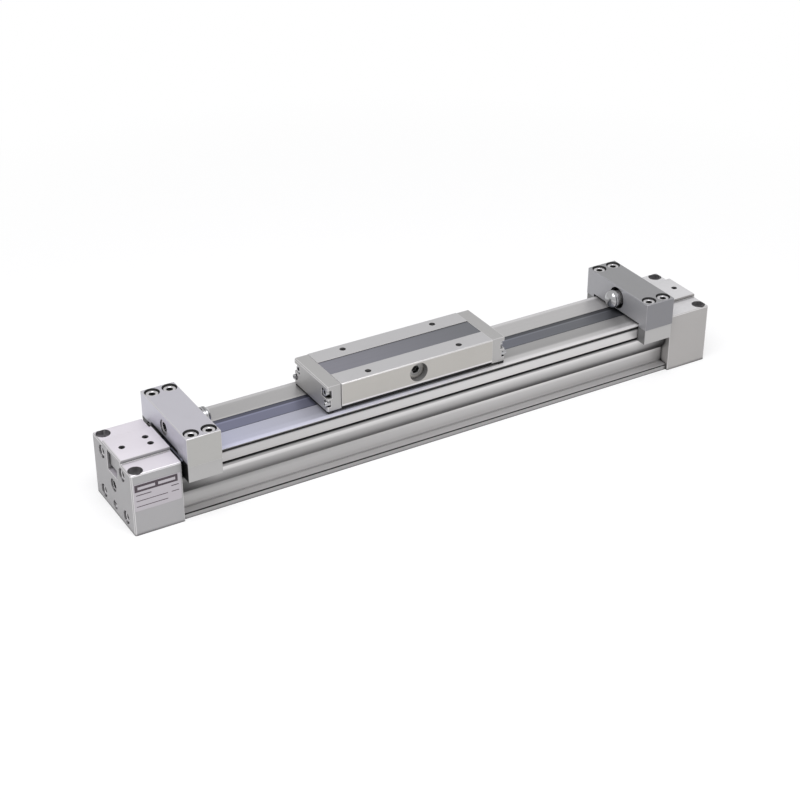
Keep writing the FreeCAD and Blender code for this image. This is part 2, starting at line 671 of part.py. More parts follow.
def make_head_cover(name, back, turn=None):
    """One end block. The air port is on the side that faces back once the piece is turned."""
    half = d.cover_width / 2
    half_ridge = d.ridge_width / 2
    half_slot = d.cover_slot_width / 2
    body = new_body(name)
    section = new_sketch(body, "YZ", tube_end)
    add_loop(section, [(-half, ZERO), (half, ZERO), (half, d.shelf_height), (half_ridge, d.shelf_height),
                       (half_ridge, d.ridge_height), (-half_ridge, d.ridge_height),
                       (-half_ridge, d.shelf_height), (-half, d.shelf_height)])
    add_box(section, -half_slot, d.cover_slot_low, half_slot, d.cover_slot_high)
    for y, z in tie_places:
        add_circle(section, y, z, d.tie_radius + d.fit_gap)
    pad(body, section, d.cover_length, "YZ", "+X")
    chamfer(body, d.cover_edge, lambda a, b: cover_edge_wanted(a, b, half.value))
    drill(body, "YZ", "-X", tie_places, d.tie_bore_radius, cover_end, d.tie_bore_depth)
    drill(body, "YZ", "+X", [(ZERO, d.bore_height)], d.cushion_radius + d.fit_gap, tube_end, d.chamber_depth)
    seat = new_sketch(body, "YZ", tube_end)
    reach = d.gasket_half + d.fit_gap
    add_box(seat, -reach, d.bore_height - reach, reach, d.bore_height + reach)
    cut(body, seat, d.gasket_depth, "YZ", "+X")
    drill(body, "YZ", "-X", [(ZERO, d.end_port_z)], d.port_radius, cover_end, d.port_length)
    drill(body, "YZ", "-X", [(ZERO, d.needle_z)], d.needle_radius + d.fit_gap, cover_end,
          d.needle_length + d.needle_sink)
    foot_holes = [(foot_hole_x, d.foot_hole_y), (foot_hole_x, -d.foot_hole_y)]
    drill(body, "XY", "-Z", foot_holes, d.foot_bore_radius, d.shelf_height, d.foot_bore_depth)
    drill(body, "XY", "-Z", foot_holes, d.foot_hole_radius, d.shelf_height, d.shelf_height)
    drill(body, "XY", "-Z", set_screw_places, d.set_screw_radius + d.fit_gap, d.ridge_height,
          d.ridge_height - d.cover_slot_high)
    port_x = cover_end - d.port_inset
    into = "-Y" if back > 0 else "+Y"
    drill(body, "XZ", into, [(port_x, d.bore_height)], d.port_radius, half * back, d.port_length)
    drill(body, "XZ", into, [(port_x, d.bore_height)], d.duct_radius, half * back, half)
    return keep(move(body, turn=turn))


def cover_edge_wanted(a, b, half):
    """The outer upright corners and the edges round the end face, apart from the bottom's."""
    end = cover_end.value
    at_end = near(a.x, end) and near(b.x, end)
    upright = near(a.y, b.y) and near(abs(a.y), half) and near(a.x, b.x)
    shelf = near(a.z, b.z) and a.z > d.cover_slot_high.value and at_end
    side = near(abs(a.y), half) and near(abs(b.y), half) and near(a.z, d.shelf_height.value)
    return (upright and at_end) or shelf or (side and near(b.z, d.shelf_height.value))


def make_cover_fittings():
    """Bolts, gaskets, cushion rings, plugs and the clamps of belt and band."""
    bolt = cap_screw("one_cover_bolt", d.tie_radius, d.cover_length - d.tie_bore_depth + d.tie_bite,
                     d.tie_head_radius, d.tie_head_height, d.tie_hex, d.tie_head_height / 2)
    seat = cover_end - d.tie_bore_depth
    right = [(seat, y, z, LEVEL_OUT) for y, z in tie_places]
    left = [(-seat, y, z, LEVEL_IN) for y, z in tie_places]
    group("cover_bolts", bolt, right + left)

    gasket = new_body("one_tube_gasket")
    plate = new_sketch(gasket, "YZ", tube_end)
    half = d.gasket_half
    add_box(plate, -half, d.bore_height - half, half, d.bore_height + half)
    add_circle(plate, ZERO, d.bore_height, d.gasket_bore)
    pad(gasket, plate, d.gasket_depth, "YZ", "+X")
    gap = new_sketch(gasket, "YZ", tube_end)
    add_box(gap, -d.cover_slot_width / 2, d.bore_height, d.cover_slot_width / 2, d.bore_height + half * 2)
    cut(gasket, gap, d.gasket_depth, "YZ", "+X")
    both_ends("tube_gaskets", gasket)

    start = tube_end - d.cushion_reach
    end = tube_end + d.cushion_seat
    ring = turned_profile("one_cushion_ring", [
        (start, d.cushion_bore), (start, d.cushion_radius), (end, d.cushion_radius), (end, d.cushion_bore)])
    group("cushion_rings", ring, [(ZERO, ZERO, d.bore_height, None), (ZERO, ZERO, d.bore_height, HALF_TURN)])

    plug = grub_screw("one_port_plug", d.port_radius - d.fit_gap, d.port_length - d.needle_sink,
                      d.plug_hex, d.port_length / 2)
    face = cover_end - d.needle_sink
    group("port_plugs", plug, [(face, ZERO, d.end_port_z, LEVEL_OUT), (-face, ZERO, d.end_port_z, LEVEL_IN)])

    block = new_body("one_belt_clamp_block")
    side = new_sketch(block, "XZ")
    start = tube_end + d.clamp_block_start
    end = cover_end - d.clamp_block_end
    add_box(side, start, belt_high + d.fit_gap, end, band_low - d.fit_gap)
    pad(block, side, d.cover_slot_width - d.seat_gap * 2)
    both_ends("belt_clamp_blocks", block)

    plate = new_body("one_band_clamp_plate")
    side = new_sketch(plate, "XZ")
    add_box(side, start, band_high + d.fit_gap, end, d.clamp_plate_high)
    pad(plate, side, d.cover_slot_width - d.seat_gap * 2)
    both_ends("band_clamp_plates", plate)

    top = d.ridge_height - d.set_screw_sink
    screw = grub_screw("one_clamp_set_screw", d.set_screw_radius, top - d.clamp_plate_high - d.fit_gap,
                       d.set_screw_hex, (top - d.clamp_plate_high) / 2)
    places = [(x * side, y, top, None) for side in (1, -1) for x, y in set_screw_places]
    group("clamp_set_screws", screw, places)


def make_needle(name, turn=None):
    """The cushion needle, with a driver slot in its outer face and a tapered inner end."""
    face = cover_end - d.needle_sink
    body = turned_profile(name, [
        (face - d.needle_length, ZERO), (face - d.needle_length, d.needle_radius / 3),
        (face - d.needle_length + d.needle_tip, d.needle_radius), (face, d.needle_radius), (face, ZERO)])
    slot = new_sketch(body, "YZ", face)
    add_box(slot, -d.needle_radius, -d.needle_slot / 2, d.needle_radius, d.needle_slot / 2)
    cut(body, slot, d.needle_slot, "YZ", "-X")
    return keep(move(body, z=d.needle_z, turn=turn))


# Belt and band


def ramp_points(flat_z, level_z, flat_x, level_x, bend, thickness, upper):
    """One side of a strip that leaves its seat at flat_x and runs level from level_x inwards.

    The points run outwards from the level stretch. They are found from the middle line's slope and the
    tangent length of its two equal bends, and moved by half the thickness square to the middle line."""
    run = flat_x - level_x
    fall = flat_z - level_z
    slope = root_of(run * run + fall * fall)
    along_x, along_z = run / slope, fall / slope
    sign = 1 if fall.value > 0 else -1
    tangent = bend * (slope - run) / (fall * sign)
    shift = thickness / 2 if upper else -thickness / 2
    level_end = (level_x - tangent, level_z + shift)
    ramp_start = (level_x + tangent * along_x - shift * along_z, level_z + tangent * along_z + shift * along_x)
    ramp_end = (flat_x - tangent * along_x - shift * along_z, flat_z - tangent * along_z + shift * along_x)
    flat_start = (flat_x + tangent, flat_z + shift)
    turn_left = fall.value > 0
    inner = bend - shift if turn_left else bend + shift
    outer = bend + shift if turn_left else bend - shift
    return [level_end, Arc(inner, turn_left), ramp_start, ramp_end, Arc(outer, not turn_left), flat_start]


def make_strip(name, width, thickness, flat_z, level_z, flat_x, level_x, bend):
    """A belt or band along the whole tube that is lifted off its seat inside the carriage."""
    body = new_body(name)
    side = new_sketch(body, "XZ")

    def half(upper):
        return ramp_points(flat_z, level_z, flat_x, level_x, bend, thickness, upper)

    def shifted(items):
        return [p if isinstance(p, Arc) else (d.carriage_x + p[0], p[1]) for p in items]

    def flipped(items):
        return [p if isinstance(p, Arc) else (d.carriage_x - p[0], p[1]) for p in reversed(items)]

    low_right, high_right = half(False), half(True)
    back_high = [Arc(p.radius, not p.left) if isinstance(p, Arc) else p for p in reversed(high_right)]
    front_high = [Arc(p.radius, not p.left) if isinstance(p, Arc) else p for p in high_right]
    low_z, high_z = flat_z - thickness / 2, flat_z + thickness / 2
    loop = [(-belt_tip, low_z)] + flipped(low_right) + shifted(low_right)
    loop += [(belt_tip, low_z), (belt_tip, high_z)]
    loop += [p if isinstance(p, Arc) else (d.carriage_x + p[0], p[1]) for p in back_high]
    loop += [p if isinstance(p, Arc) else (d.carriage_x - p[0], p[1]) for p in front_high]
    loop += [(-belt_tip, high_z)]
    add_loop(side, loop)
    pad(body, side, width)
    return body


def make_belts():
    """The inner seal belt dips through the yoke and the outer dust band rises through the table."""
    belt = make_strip("seal_belt", d.belt_width, d.belt_thickness, belt_middle, d.belt_dip_z,
                      belt_lift_half, d.neck_half, d.belt_bend)
    half = d.belt_width / 2
    reach = d.bore_radius + d.fit_gap
    lip = d.bore_height + root_of(reach * reach - half * half)
    seat_start = yoke_half + d.fit_gap
    for start, length, way in ((d.carriage_x + seat_start, belt_tip - d.carriage_x - seat_start, "+X"),
                               (d.carriage_x - seat_start, belt_tip + d.carriage_x - seat_start, "-X")):
        under = new_sketch(belt, "YZ", start)
        add_loop(under, [(half, belt_low), (-half, belt_low), (-half, lip), Arc(reach, False), (half, lip)])
        pad(belt, under, length, "YZ", way)
    keep(belt)
    keep(make_strip("dust_band", d.band_width, d.band_thickness, band_middle, d.band_lift_z,
                    band_lift_half, band_level_half, d.band_bend))
    strips = new_body("seal_magnets")
    section = new_sketch(strips, "YZ")
    floor = d.rail_top - d.band_recess_depth
    for side in (1, -1):
        low, high = sorted((d.magnet_inner * side, d.magnet_outer * side), key=lambda size: size.value)
        add_box(section, low + d.fit_gap, floor - d.magnet_depth + d.fit_gap, high - d.fit_gap, floor)
    pad(strips, section, d.tube_length)
    keep(strips)


# Stroke adjusting units


def make_stop_holder(name, back, turn=None):
    """The block across the rail, with four counterbored screws, the stop bolt's hole and its lock's."""
    half = d.holder_width / 2
    inside = d.rail_width / 2 + d.holder_gap
    body = new_body(name)
    section = new_sketch(body, "YZ", holder_inner)
    add_loop(section, [(-half, d.holder_skirt), (-inside, d.holder_skirt), (-inside, d.holder_belly),
                       (inside, d.holder_belly), (inside, d.holder_skirt), (half, d.holder_skirt),
                       (half, d.holder_top), (-half, d.holder_top)])
    pad(body, section, d.holder_length, "YZ", "+X")
    pads = new_sketch(body, "YZ", holder_inner + d.holder_pad_inset)
    add_box(pads, d.holder_pad_inner, d.rail_top, d.holder_pad_outer, d.holder_belly)
    add_box(pads, -d.holder_pad_outer, d.rail_top, -d.holder_pad_inner, d.holder_belly)
    pad(body, pads, d.holder_length - d.holder_pad_inset * 2, "YZ", "+X")
    top = d.holder_top.value
    chamfer(body, d.holder_edge, lambda a, b: near(a.z, top) and near(b.z, top))
    screws = [(x, y) for x in holder_screw_x for y in (d.holder_screw_y, -d.holder_screw_y)]
    drill(body, "XY", "-Z", screws, d.holder_bore_radius, d.holder_top, d.holder_bore_depth)
    drill(body, "XY", "-Z", screws, d.holder_screw_radius + d.fit_gap, d.holder_top,
          d.holder_top - d.holder_skirt)
    axis = [(ZERO, d.stop_z)]
    drill(body, "YZ", "+X", axis, d.stop_radius + d.fit_gap, holder_inner, d.holder_length)
    room = d.stop_travel + bumper_base - holder_inner + d.fit_gap
    drill(body, "YZ", "+X", axis, d.bumper_bore_radius, holder_inner, room)
    drill(body, "XZ", "-Y" if back > 0 else "+Y", [(holder_middle, d.stop_z)],
          d.set_screw_radius + d.fit_gap, half * back, half)
    return keep(move(body, turn=turn))


def make_holder_clamps(name, turn=None):
    """Two jaws beside the rail that hook into its side grooves."""
    inner = d.rail_width / 2 + d.clamp_gap
    hook = d.rail_width / 2 - d.clamp_hook
    hook_low = d.clamp_groove_low + d.clamp_hook_gap
    hook_high = d.clamp_groove_high - d.clamp_hook_gap
    jaw = [(d.clamp_outer, d.clamp_low), (d.clamp_outer, d.holder_skirt), (inner, d.holder_skirt),
           (inner, hook_high), (hook, hook_high), (hook, hook_low), (inner, hook_low), (inner, d.clamp_low)]
    body = new_body(name)
    section = new_sketch(body, "YZ", holder_inner)
    add_loop(section, jaw)
    add_loop(section, [(-y, z) for y, z in reversed(jaw)])
    pad(body, section, d.holder_length, "YZ", "+X")
    screws = [(x, y) for x in holder_screw_x for y in (d.holder_screw_y, -d.holder_screw_y)]
    drill(body, "XY", "-Z", screws, d.holder_screw_radius + d.fit_gap, d.holder_skirt,
          d.holder_skirt - d.clamp_low)
    return keep(move(body, turn=turn))


def make_holder_screws():
    seat = d.holder_top - d.holder_bore_depth
    screw = cap_screw("one_holder_screw", d.holder_screw_radius, seat - d.holder_screw_tip,
                      d.holder_head_radius, d.holder_head_height, d.holder_hex, d.holder_head_height / 2)
    for label, side in (("holder_screws_left", -1), ("holder_screws_right", 1)):
        places = [(x * side, y, seat, None) for x in holder_screw_x
                  for y in (d.holder_screw_y, -d.holder_screw_y)]
        group(label, screw, places)
    lock = grub_screw("one_stop_lock_screw", d.set_screw_radius, d.lock_screw_length, d.set_screw_hex,
                      d.set_screw_radius * 2)
    head = d.stop_radius + d.fit_gap + d.lock_screw_length
    group("stop_lock_screws", lock, [(holder_middle * side, head, d.stop_z, LEVEL_BACK) for side in (1, -1)])


def make_stop(bolt_name, bumper_name, turn=None):
    """The stop bolt through the holder and the rounded bumper on its inner end."""
    bolt = turned_profile(bolt_name, [(bumper_base, ZERO), (bumper_base, d.stop_radius),
                                      (stop_end, d.stop_radius), (stop_end, ZERO)])
    socket = new_sketch(bolt, "YZ", stop_end)
    add_hexagon(socket, d.stop_hex)
    cut(bolt, socket, d.stop_hex_depth, "YZ", "-X")
    keep(move(bolt, z=d.stop_z, turn=turn))
    nose, shoulder, rim = [(dome_x(radius), radius) for radius in
                           (d.bumper_radius / 3, d.bumper_radius * 2 / 3, d.bumper_radius)]
    bumper = turned_profile(bumper_name, [(bumper_tip, ZERO), (bumper_tip, nose[1]), shoulder, rim,
                                          (bumper_base, d.bumper_radius), (bumper_base, ZERO)])
    keep(move(bumper, z=d.stop_z, turn=turn))


def dome_x(radius):
    """Where the bumper's dome has a given radius."""
    return bumper_tip + d.bumper_dome - root_of(d.bumper_dome * d.bumper_dome - radius * radius)


# Carriage


def make_slide_table():
    """The table: two side rails joined by a web under the band, with a channel along its top."""
    half = d.table_width / 2
    window = d.window_width / 2
    tunnel = d.tunnel_width / 2
    body = new_body("slide_table")
    section = new_sketch(body, "YZ")
    add_loop(section, [(-half, d.table_low), (half, d.table_low), (half, d.table_top),
                       (window, d.table_top), (window, d.ledge_height), (tunnel, d.ledge_height),
                       (tunnel, d.tunnel_floor), (-tunnel, d.tunnel_floor), (-tunnel, d.ledge_height),
                       (-window, d.ledge_height), (-window, d.table_top), (-half, d.table_top)])
    pad(body, section, d.table_length)
    chamfer(body, d.table_edge, lambda a, b: near(abs(a.y), half.value) and near(a.y, b.y)
            and near(a.z, d.table_top.value) and near(b.z, d.table_top.value))
    ways = new_sketch(body, "XY", d.table_low)
    add_box(ways, d.web_half, -tunnel, table_half, tunnel)
    add_box(ways, -table_half, -tunnel, -d.web_half, tunnel)
    cut(body, ways, d.tunnel_floor - d.table_low, "XY", "+Z")
    pocket = new_sketch(body, "XY", d.table_low)
    long_side = d.head_half + d.head_gap
    wide_side = d.head_width / 2 + d.head_gap
    add_box(pocket, -long_side, -wide_side, long_side, wide_side)
    cut(body, pocket, d.head_top - d.table_low, "XY", "+Z")
    work_holes = [(d.work_hole_x / 2 * i, d.work_hole_y / 2 * j) for i in (1, -1) for j in (1, -1)]
    drill(body, "XY", "-Z", work_holes, d.work_hole_radius, d.table_top, d.work_hole_depth)
    drill(body, "XZ", "+Y", [(ZERO, d.side_hole_z)], d.side_hole_radius, -half, d.side_hole_depth)
    drill(body, "XZ", "+Y", [(ZERO, d.side_hole_z)], d.side_thread_radius, -half,
          d.side_hole_depth + d.side_thread_depth)
    bolts = yoke_bolt_places()
    drill(body, "XY", "-Z", bolts, d.yoke_bolt_bore, d.tunnel_floor, d.yoke_bolt_depth)
    drill(body, "XY", "-Z", bolts, d.yoke_bolt_radius + d.fit_gap, d.tunnel_floor,
          d.tunnel_floor - d.table_low)
    ends = [(d.end_bolt_y, d.end_bolt_z), (-d.end_bolt_y, d.end_bolt_z)]
    for at, way in ((table_half, "-X"), (-table_half, "+X")):
        drill(body, "YZ", way, ends, d.end_bolt_radius + d.fit_gap, at, d.end_bolt_bite + d.seat_gap)
    return keep(move(body, x=d.carriage_x))


def yoke_bolt_places():
    return [(d.yoke_bolt_x / 2, ZERO), (-d.yoke_bolt_x / 2, ZERO)]


def make_table_fittings():
    """Top cover, side plug and the screws of the carriage."""
    cover = new_body("top_cover")
    section = new_sketch(cover, "YZ")
    half = d.window_width / 2 - d.top_cover_gap
    add_box(section, -half, d.ledge_height, half, d.ledge_height + d.top_cover_thickness)
    pad(cover, section, d.table_length - d.top_cover_gap * 2)
    keep(move(cover, x=d.carriage_x))

    plug = grub_screw("side_plug", d.side_thread_radius - d.fit_gap, d.side_plug_length, d.plug_hex,
                      d.side_plug_length / 2)
    keep(move(plug, d.carriage_x, d.side_hole_depth - d.table_width / 2, d.side_hole_z, LEVEL_FRONT))

    bolt = cap_screw("one_yoke_bolt", d.yoke_bolt_radius,
                     d.tunnel_floor - d.yoke_bolt_depth - d.head_top + d.yoke_bolt_bite,
                     d.yoke_bolt_head, d.yoke_bolt_depth - d.seat_gap, d.small_hex, d.small_hex_depth)
    seat = d.tunnel_floor - d.yoke_bolt_depth
    group("yoke_bolts", bolt, [(d.carriage_x + x, y, seat, None) for x, y in yoke_bolt_places()])

    wall = d.end_cover_length - d.end_bolt_depth
    bolt = cap_screw("one_end_cover_bolt", d.end_bolt_radius, wall + d.end_bolt_bite, d.end_bolt_head,
                     d.end_bolt_rise, d.small_hex, d.small_hex_depth)
    group("end_cover_bolts", bolt, end_screw_places(d.end_bolt_depth, d.end_bolt_y, d.end_bolt_z))

    screw = cap_screw("one_wiper_screw", d.wiper_screw_radius, d.wiper_screw_bite, d.wiper_screw_head,
                      d.wiper_screw_rise, d.wiper_screw_hex, d.small_hex_depth)
    group("wiper_screws", screw, end_screw_places(d.wiper_screw_depth, d.wiper_screw_y, d.wiper_screw_z))


def end_screw_places(depth, y, z):
    """Four screws along the table, two in the outer face of each end cover."""
    reach = end_cover_face - depth
    return [(d.carriage_x + reach * side, across, z, turn)
            for side, turn in ((1, LEVEL_OUT), (-1, LEVEL_IN)) for across in (y, -y)]


def make_end_cover(name, turn=None):
    """Closes the table's end and holds the guide roller over the band."""
    half = d.end_cover_width / 2
    bay = d.tunnel_width / 2
    body = new_body(name)
    section = new_sketch(body, "YZ", table_half)
    add_box(section, -half, d.end_cover_low, half, d.end_cover_top)
    pad(body, section, d.end_cover_length, "YZ", "+X")
    face = end_cover_face.value
    chamfer(body, d.end_cover_edge, lambda a, b: near(a.x, face) and near(b.x, face)
            and min(a.z, b.z) >= d.end_cover_low.value and max(a.z, b.z) > d.end_cover_low.value + 1)
    hollow = new_sketch(body, "YZ", table_half)
    add_box(hollow, -bay, d.end_cover_low, bay, d.roller_bay_top)
    cut(body, hollow, d.roller_bay_length, "YZ", "+X")
    for y, z, room, depth in ((d.end_bolt_y, d.end_bolt_z, d.end_bolt_notch, d.end_bolt_depth),
                              (d.wiper_screw_y, d.wiper_screw_z, d.wiper_screw_notch, d.wiper_screw_depth)):
        notches = new_sketch(body, "YZ", end_cover_face)
        beyond = half + d.end_cover_edge
        add_box(notches, y - room, z - room, beyond, z + room)
        add_box(notches, -beyond, z - room, room - y, z + room)
        cut(body, notches, depth, "YZ", "-X")
    bolts = [(d.end_bolt_y, d.end_bolt_z), (-d.end_bolt_y, d.end_bolt_z)]
    drill(body, "YZ", "-X", bolts, d.end_bolt_radius + d.fit_gap, end_cover_face, d.end_cover_length)
    screws = [(d.wiper_screw_y, d.wiper_screw_z), (-d.wiper_screw_y, d.wiper_screw_z)]
    drill(body, "YZ", "-X", screws, d.wiper_screw_radius + d.fit_gap, end_cover_face,
          d.wiper_screw_depth + d.wiper_screw_bite + d.seat_gap)
    pin = new_sketch(body, "XZ")
    add_circle(pin, roller_x, d.roller_z, d.roller_pin_radius + d.fit_gap)
    cut(body, pin, d.roller_pin_length + d.seat_gap * 2)
    return keep(move(body, x=d.carriage_x, turn=turn))


def make_slides():
    """Resin bearing strips, rubber scrapers, guide rollers and their pins."""
    bearings = new_body("slide_bearings")
    section = new_sketch(bearings, "YZ")
    low = d.rail_top + d.seat_gap
    add_box(section, d.bearing_inner, low, d.bearing_outer, d.table_low)
    add_box(section, -d.bearing_outer, low, -d.bearing_inner, d.table_low)
    pad(bearings, section, d.table_length - d.seat_gap * 2)
    keep(move(bearings, x=d.carriage_x))

    scrapers = new_body("side_scrapers")
    section = new_sketch(scrapers, "YZ")
    low = d.rail_top + d.scraper_gap
    add_box(section, d.scraper_inner, low, d.scraper_outer, d.table_low)
    add_box(section, -d.scraper_outer, low, -d.scraper_inner, d.table_low)
    pad(scrapers, section, d.table_length)
    keep(move(scrapers, x=d.carriage_x))

    wiper = new_body("one_end_scraper")
    plan = new_sketch(wiper, "XY", low)
    outer = end_cover_face - d.end_scraper_inset
    add_box(plan, outer - d.end_scraper_length, -d.end_scraper_half, outer, d.end_scraper_half)
    pad(wiper, plan, d.end_cover_low - low, "XY", "+Z")
    both_ends("end_scrapers", wiper, d.carriage_x)

    for name, side in (("guide_roller_left", -1), ("guide_roller_right", 1)):
        roller = new_body(name)
        section = new_sketch(roller, "XZ")
        add_circle(section, ZERO, ZERO, d.roller_radius)
        add_circle(section, ZERO, ZERO, d.roller_pin_radius + d.fit_gap)
        pad(roller, section, d.roller_width)
        keep(move(roller, x=d.carriage_x + roller_x * side, z=d.roller_z))

    pin = new_body("one_roller_pin")
    section = new_sketch(pin, "XZ")
    add_circle(section, ZERO, ZERO, d.roller_pin_radius)
    pad(pin, section, d.roller_pin_length)
    group("roller_pins", pin, [(d.carriage_x + roller_x * side, ZERO, d.roller_z, None) for side in (1, -1)])


# Piston assembly


def make_yoke():
    """The yoke: a round bar in the bore, a neck through the slot and a head under the table."""
    body = new_body("piston_yoke")
    bar = new_sketch(body, "YZ")
    add_circle(bar, ZERO, d.bore_height, piston_radius)
    pad(body, bar, yoke_half * 2)
    neck = new_sketch(body, "XZ")
    floor = d.belt_dip_z + d.belt_thickness / 2 + d.belt_way_gap
    add_box(neck, -d.neck_half, floor, d.neck_half, d.head_low)
    pad(body, neck, d.neck_width)
    head = new_sketch(body, "XY", d.head_low)
    add_box(head, -d.head_half, -d.head_width / 2, d.head_half, d.head_width / 2)
    pad(body, head, d.head_top - d.head_low, "XY", "+Z")
    under = d.belt_thickness / 2 + d.belt_way_gap
    way = new_sketch(body, "XZ")
    dip_low = d.belt_dip_z - under
    seat_low = belt_middle - under
    open_top = d.bore_height + d.bore_radius
    loop = [(yoke_half, seat_low), (yoke_half, open_top), (d.neck_half, open_top), (d.neck_half, floor),
            (-d.neck_half, floor), (-d.neck_half, open_top), (-yoke_half, open_top),
            (-yoke_half, seat_low), (-d.neck_half, dip_low), (d.neck_half, dip_low)]
    add_loop(way, loop)
    cut(body, way, d.belt_way_width)
    for at, way_in in ((yoke_half, "-X"), (-yoke_half, "+X")):
        drill(body, "YZ", way_in, [(ZERO, d.bore_height)], d.spigot_radius + d.fit_gap, at,
              d.spigot_length + d.seat_gap)
    pins = new_sketch(body, "XZ")
    add_circle(pins, pin_x, d.bore_height, d.pin_radius + d.fit_gap)
    add_circle(pins, -pin_x, d.bore_height, d.pin_radius + d.fit_gap)
    cut(body, pins, d.bore_radius * 2)
    side = d.magnet_side / 2 + d.fit_gap
    for at, way_in in ((piston_radius, "-Y"), (-piston_radius, "+Y")):
        pocket = new_sketch(body, "XZ", at)
        add_box(pocket, -side, d.bore_height - side, side, d.bore_height + side)
        cut(body, pocket, piston_radius - d.magnet_face + d.magnet_length, "XZ", way_in)
    drill(body, "XY", "-Z", yoke_bolt_places(), d.yoke_bolt_radius + d.fit_gap, d.head_top,
          d.yoke_bolt_bite + d.seat_gap)
    return keep(move(body, x=d.carriage_x))


def make_pistons():
    """Two pistons, each with its spigot, ring grooves and cushion bore."""
    body = turned_profile("one_piston", [
        (yoke_half - d.spigot_length, ZERO), (yoke_half - d.spigot_length, d.spigot_radius),
        (yoke_half, d.spigot_radius), (yoke_half, piston_radius),
        (wear_start, piston_radius), (wear_start, d.wear_root),
        (wear_end, d.wear_root), (wear_end, piston_radius),
        (seal_start, piston_radius), (seal_start, d.seal_root),
        (seal_end, d.seal_root), (seal_end, piston_radius),
        (piston_end, piston_radius), (piston_end, d.cushion_way),
        (cushion_seal_end, d.cushion_way), (cushion_seal_end, d.cushion_seal_root),
        (cushion_seal_start, d.cushion_seal_root), (cushion_seal_start, d.cushion_way),
        (piston_end - d.cushion_way_depth, d.cushion_way), (piston_end - d.cushion_way_depth, ZERO)])
    hole = new_sketch(body, "XZ")
    add_circle(hole, pin_x, ZERO, d.pin_radius + d.fit_gap)
    cut(body, hole, d.spigot_radius * 2)
    on_both_pistons("pistons", body)


def on_both_pistons(label, master):
    group(label, master, [(d.carriage_x, ZERO, d.bore_height, None),
                          (d.carriage_x, ZERO, d.bore_height, HALF_TURN)])


def make_ring_pair(label, start, end, inner, outer):
    """A ring in a groove of each piston."""
    ring = turned_profile("one_of_" + label, [(start, inner), (start, outer), (end, outer), (end, inner)])
    on_both_pistons(label, ring)


def make_piston_fittings():
    gap = d.fit_gap
    make_ring_pair("wear_rings", wear_start + gap, wear_end - gap, d.wear_root + gap, ring_radius)
    make_ring_pair("piston_seals", seal_start + gap, seal_end - gap, d.seal_root + gap, ring_radius)
    make_ring_pair("cushion_seals", cushion_seal_start + gap, cushion_seal_end - gap,
                   d.cushion_radius + d.seat_gap, d.cushion_seal_root - gap)
    pin = new_body("one_piston_pin")
    section = new_sketch(pin, "XZ")
    add_circle(section, ZERO, ZERO, d.pin_radius)
    pad(pin, section, d.pin_length)
    group("piston_pins", pin, [(d.carriage_x + pin_x * side, ZERO, d.bore_height, None) for side in (1, -1)])
    magnet = new_body("one_sensor_magnet")
    section = new_sketch(magnet, "XZ", d.magnet_face)
    half = d.magnet_side / 2
    add_box(section, -half, -half, half, half)
    pad(magnet, section, d.magnet_length, "XZ", "-Y")
    on_both_pistons("sensor_magnets", magnet)


def make_belt_separators():
    """Resin wedges before the neck that press the belt down and lift the band."""
    belt_slope = (belt_middle - d.belt_dip_z) / (belt_lift_half - d.neck_half)
    band_slope = (d.band_lift_z - band_middle) / (band_lift_half - band_level_half)
    floor = d.belt_dip_z + d.belt_thickness / 2 + d.belt_way_gap
    heel_low = belt_middle - belt_slope * (belt_lift_half - separator_heel) + d.belt_thickness
    top_low = band_middle + band_slope * (band_lift_half - separator_heel) - d.separator_gap - d.band_thickness
    top_high = top_low + band_slope * (separator_heel - d.neck_half) - d.separator_gap
    wedge = new_body("one_belt_separator")
    side = new_sketch(wedge, "XZ")
    add_loop(side, [(d.neck_half, floor), (separator_heel, heel_low),
                    (separator_reach, d.separator_tip_low), (separator_reach, d.separator_tip_high),
                    (separator_heel, top_low), (d.neck_half, top_high)])
    pad(wedge, side, d.separator_width)
    both_ends("belt_separators", wedge, d.carriage_x)


def make_all():
    make_tube()
    make_head_cover("head_cover_right", 1)
    make_head_cover("head_cover_left", -1, HALF_TURN)
    make_cover_fittings()
    make_needle("cushion_needle_right")
    make_needle("cushion_needle_left", HALF_TURN)
    make_belts()
    for end, back, turn in (("right", 1, None), ("left", -1, HALF_TURN)):
        make_stop_holder("stop_holder_" + end, back, turn)
        make_holder_clamps("holder_clamps_" + end, turn)
        make_stop("stop_bolt_" + end, "bumper_" + end, turn)
        make_end_cover("end_cover_" + end, turn)
    make_holder_screws()
    make_slide_table()
    make_table_fittings()
    make_slides()
    make_yoke()
    make_pistons()
    make_piston_fittings()
    make_belt_separators()


def check_all():
    """Stops on any failed feature or empty or invalid shape before a file is written."""
    for thing in doc.Objects:
        if any(word in state for state in thing.State for word in ("Invalid", "Error")):
            raise RuntimeError(f"{thing.Label} is in state {thing.State}")
    for node in nodes:
        if node.Shape.isNull() or not node.Shape.isValid() or not node.Shape.Solids:
            raise RuntimeError(f"{node.Label} has no sound shape")


make_all()
doc.recompute()
check_all()
os.makedirs("parts", exist_ok=True)
for node in nodes:
    node.Shape.exportStep(os.path.join("parts", node.Label + ".step"))
print(len(nodes), "pieces written")
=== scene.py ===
import math

import bmesh
import bpy
from mathutils import Matrix, Vector


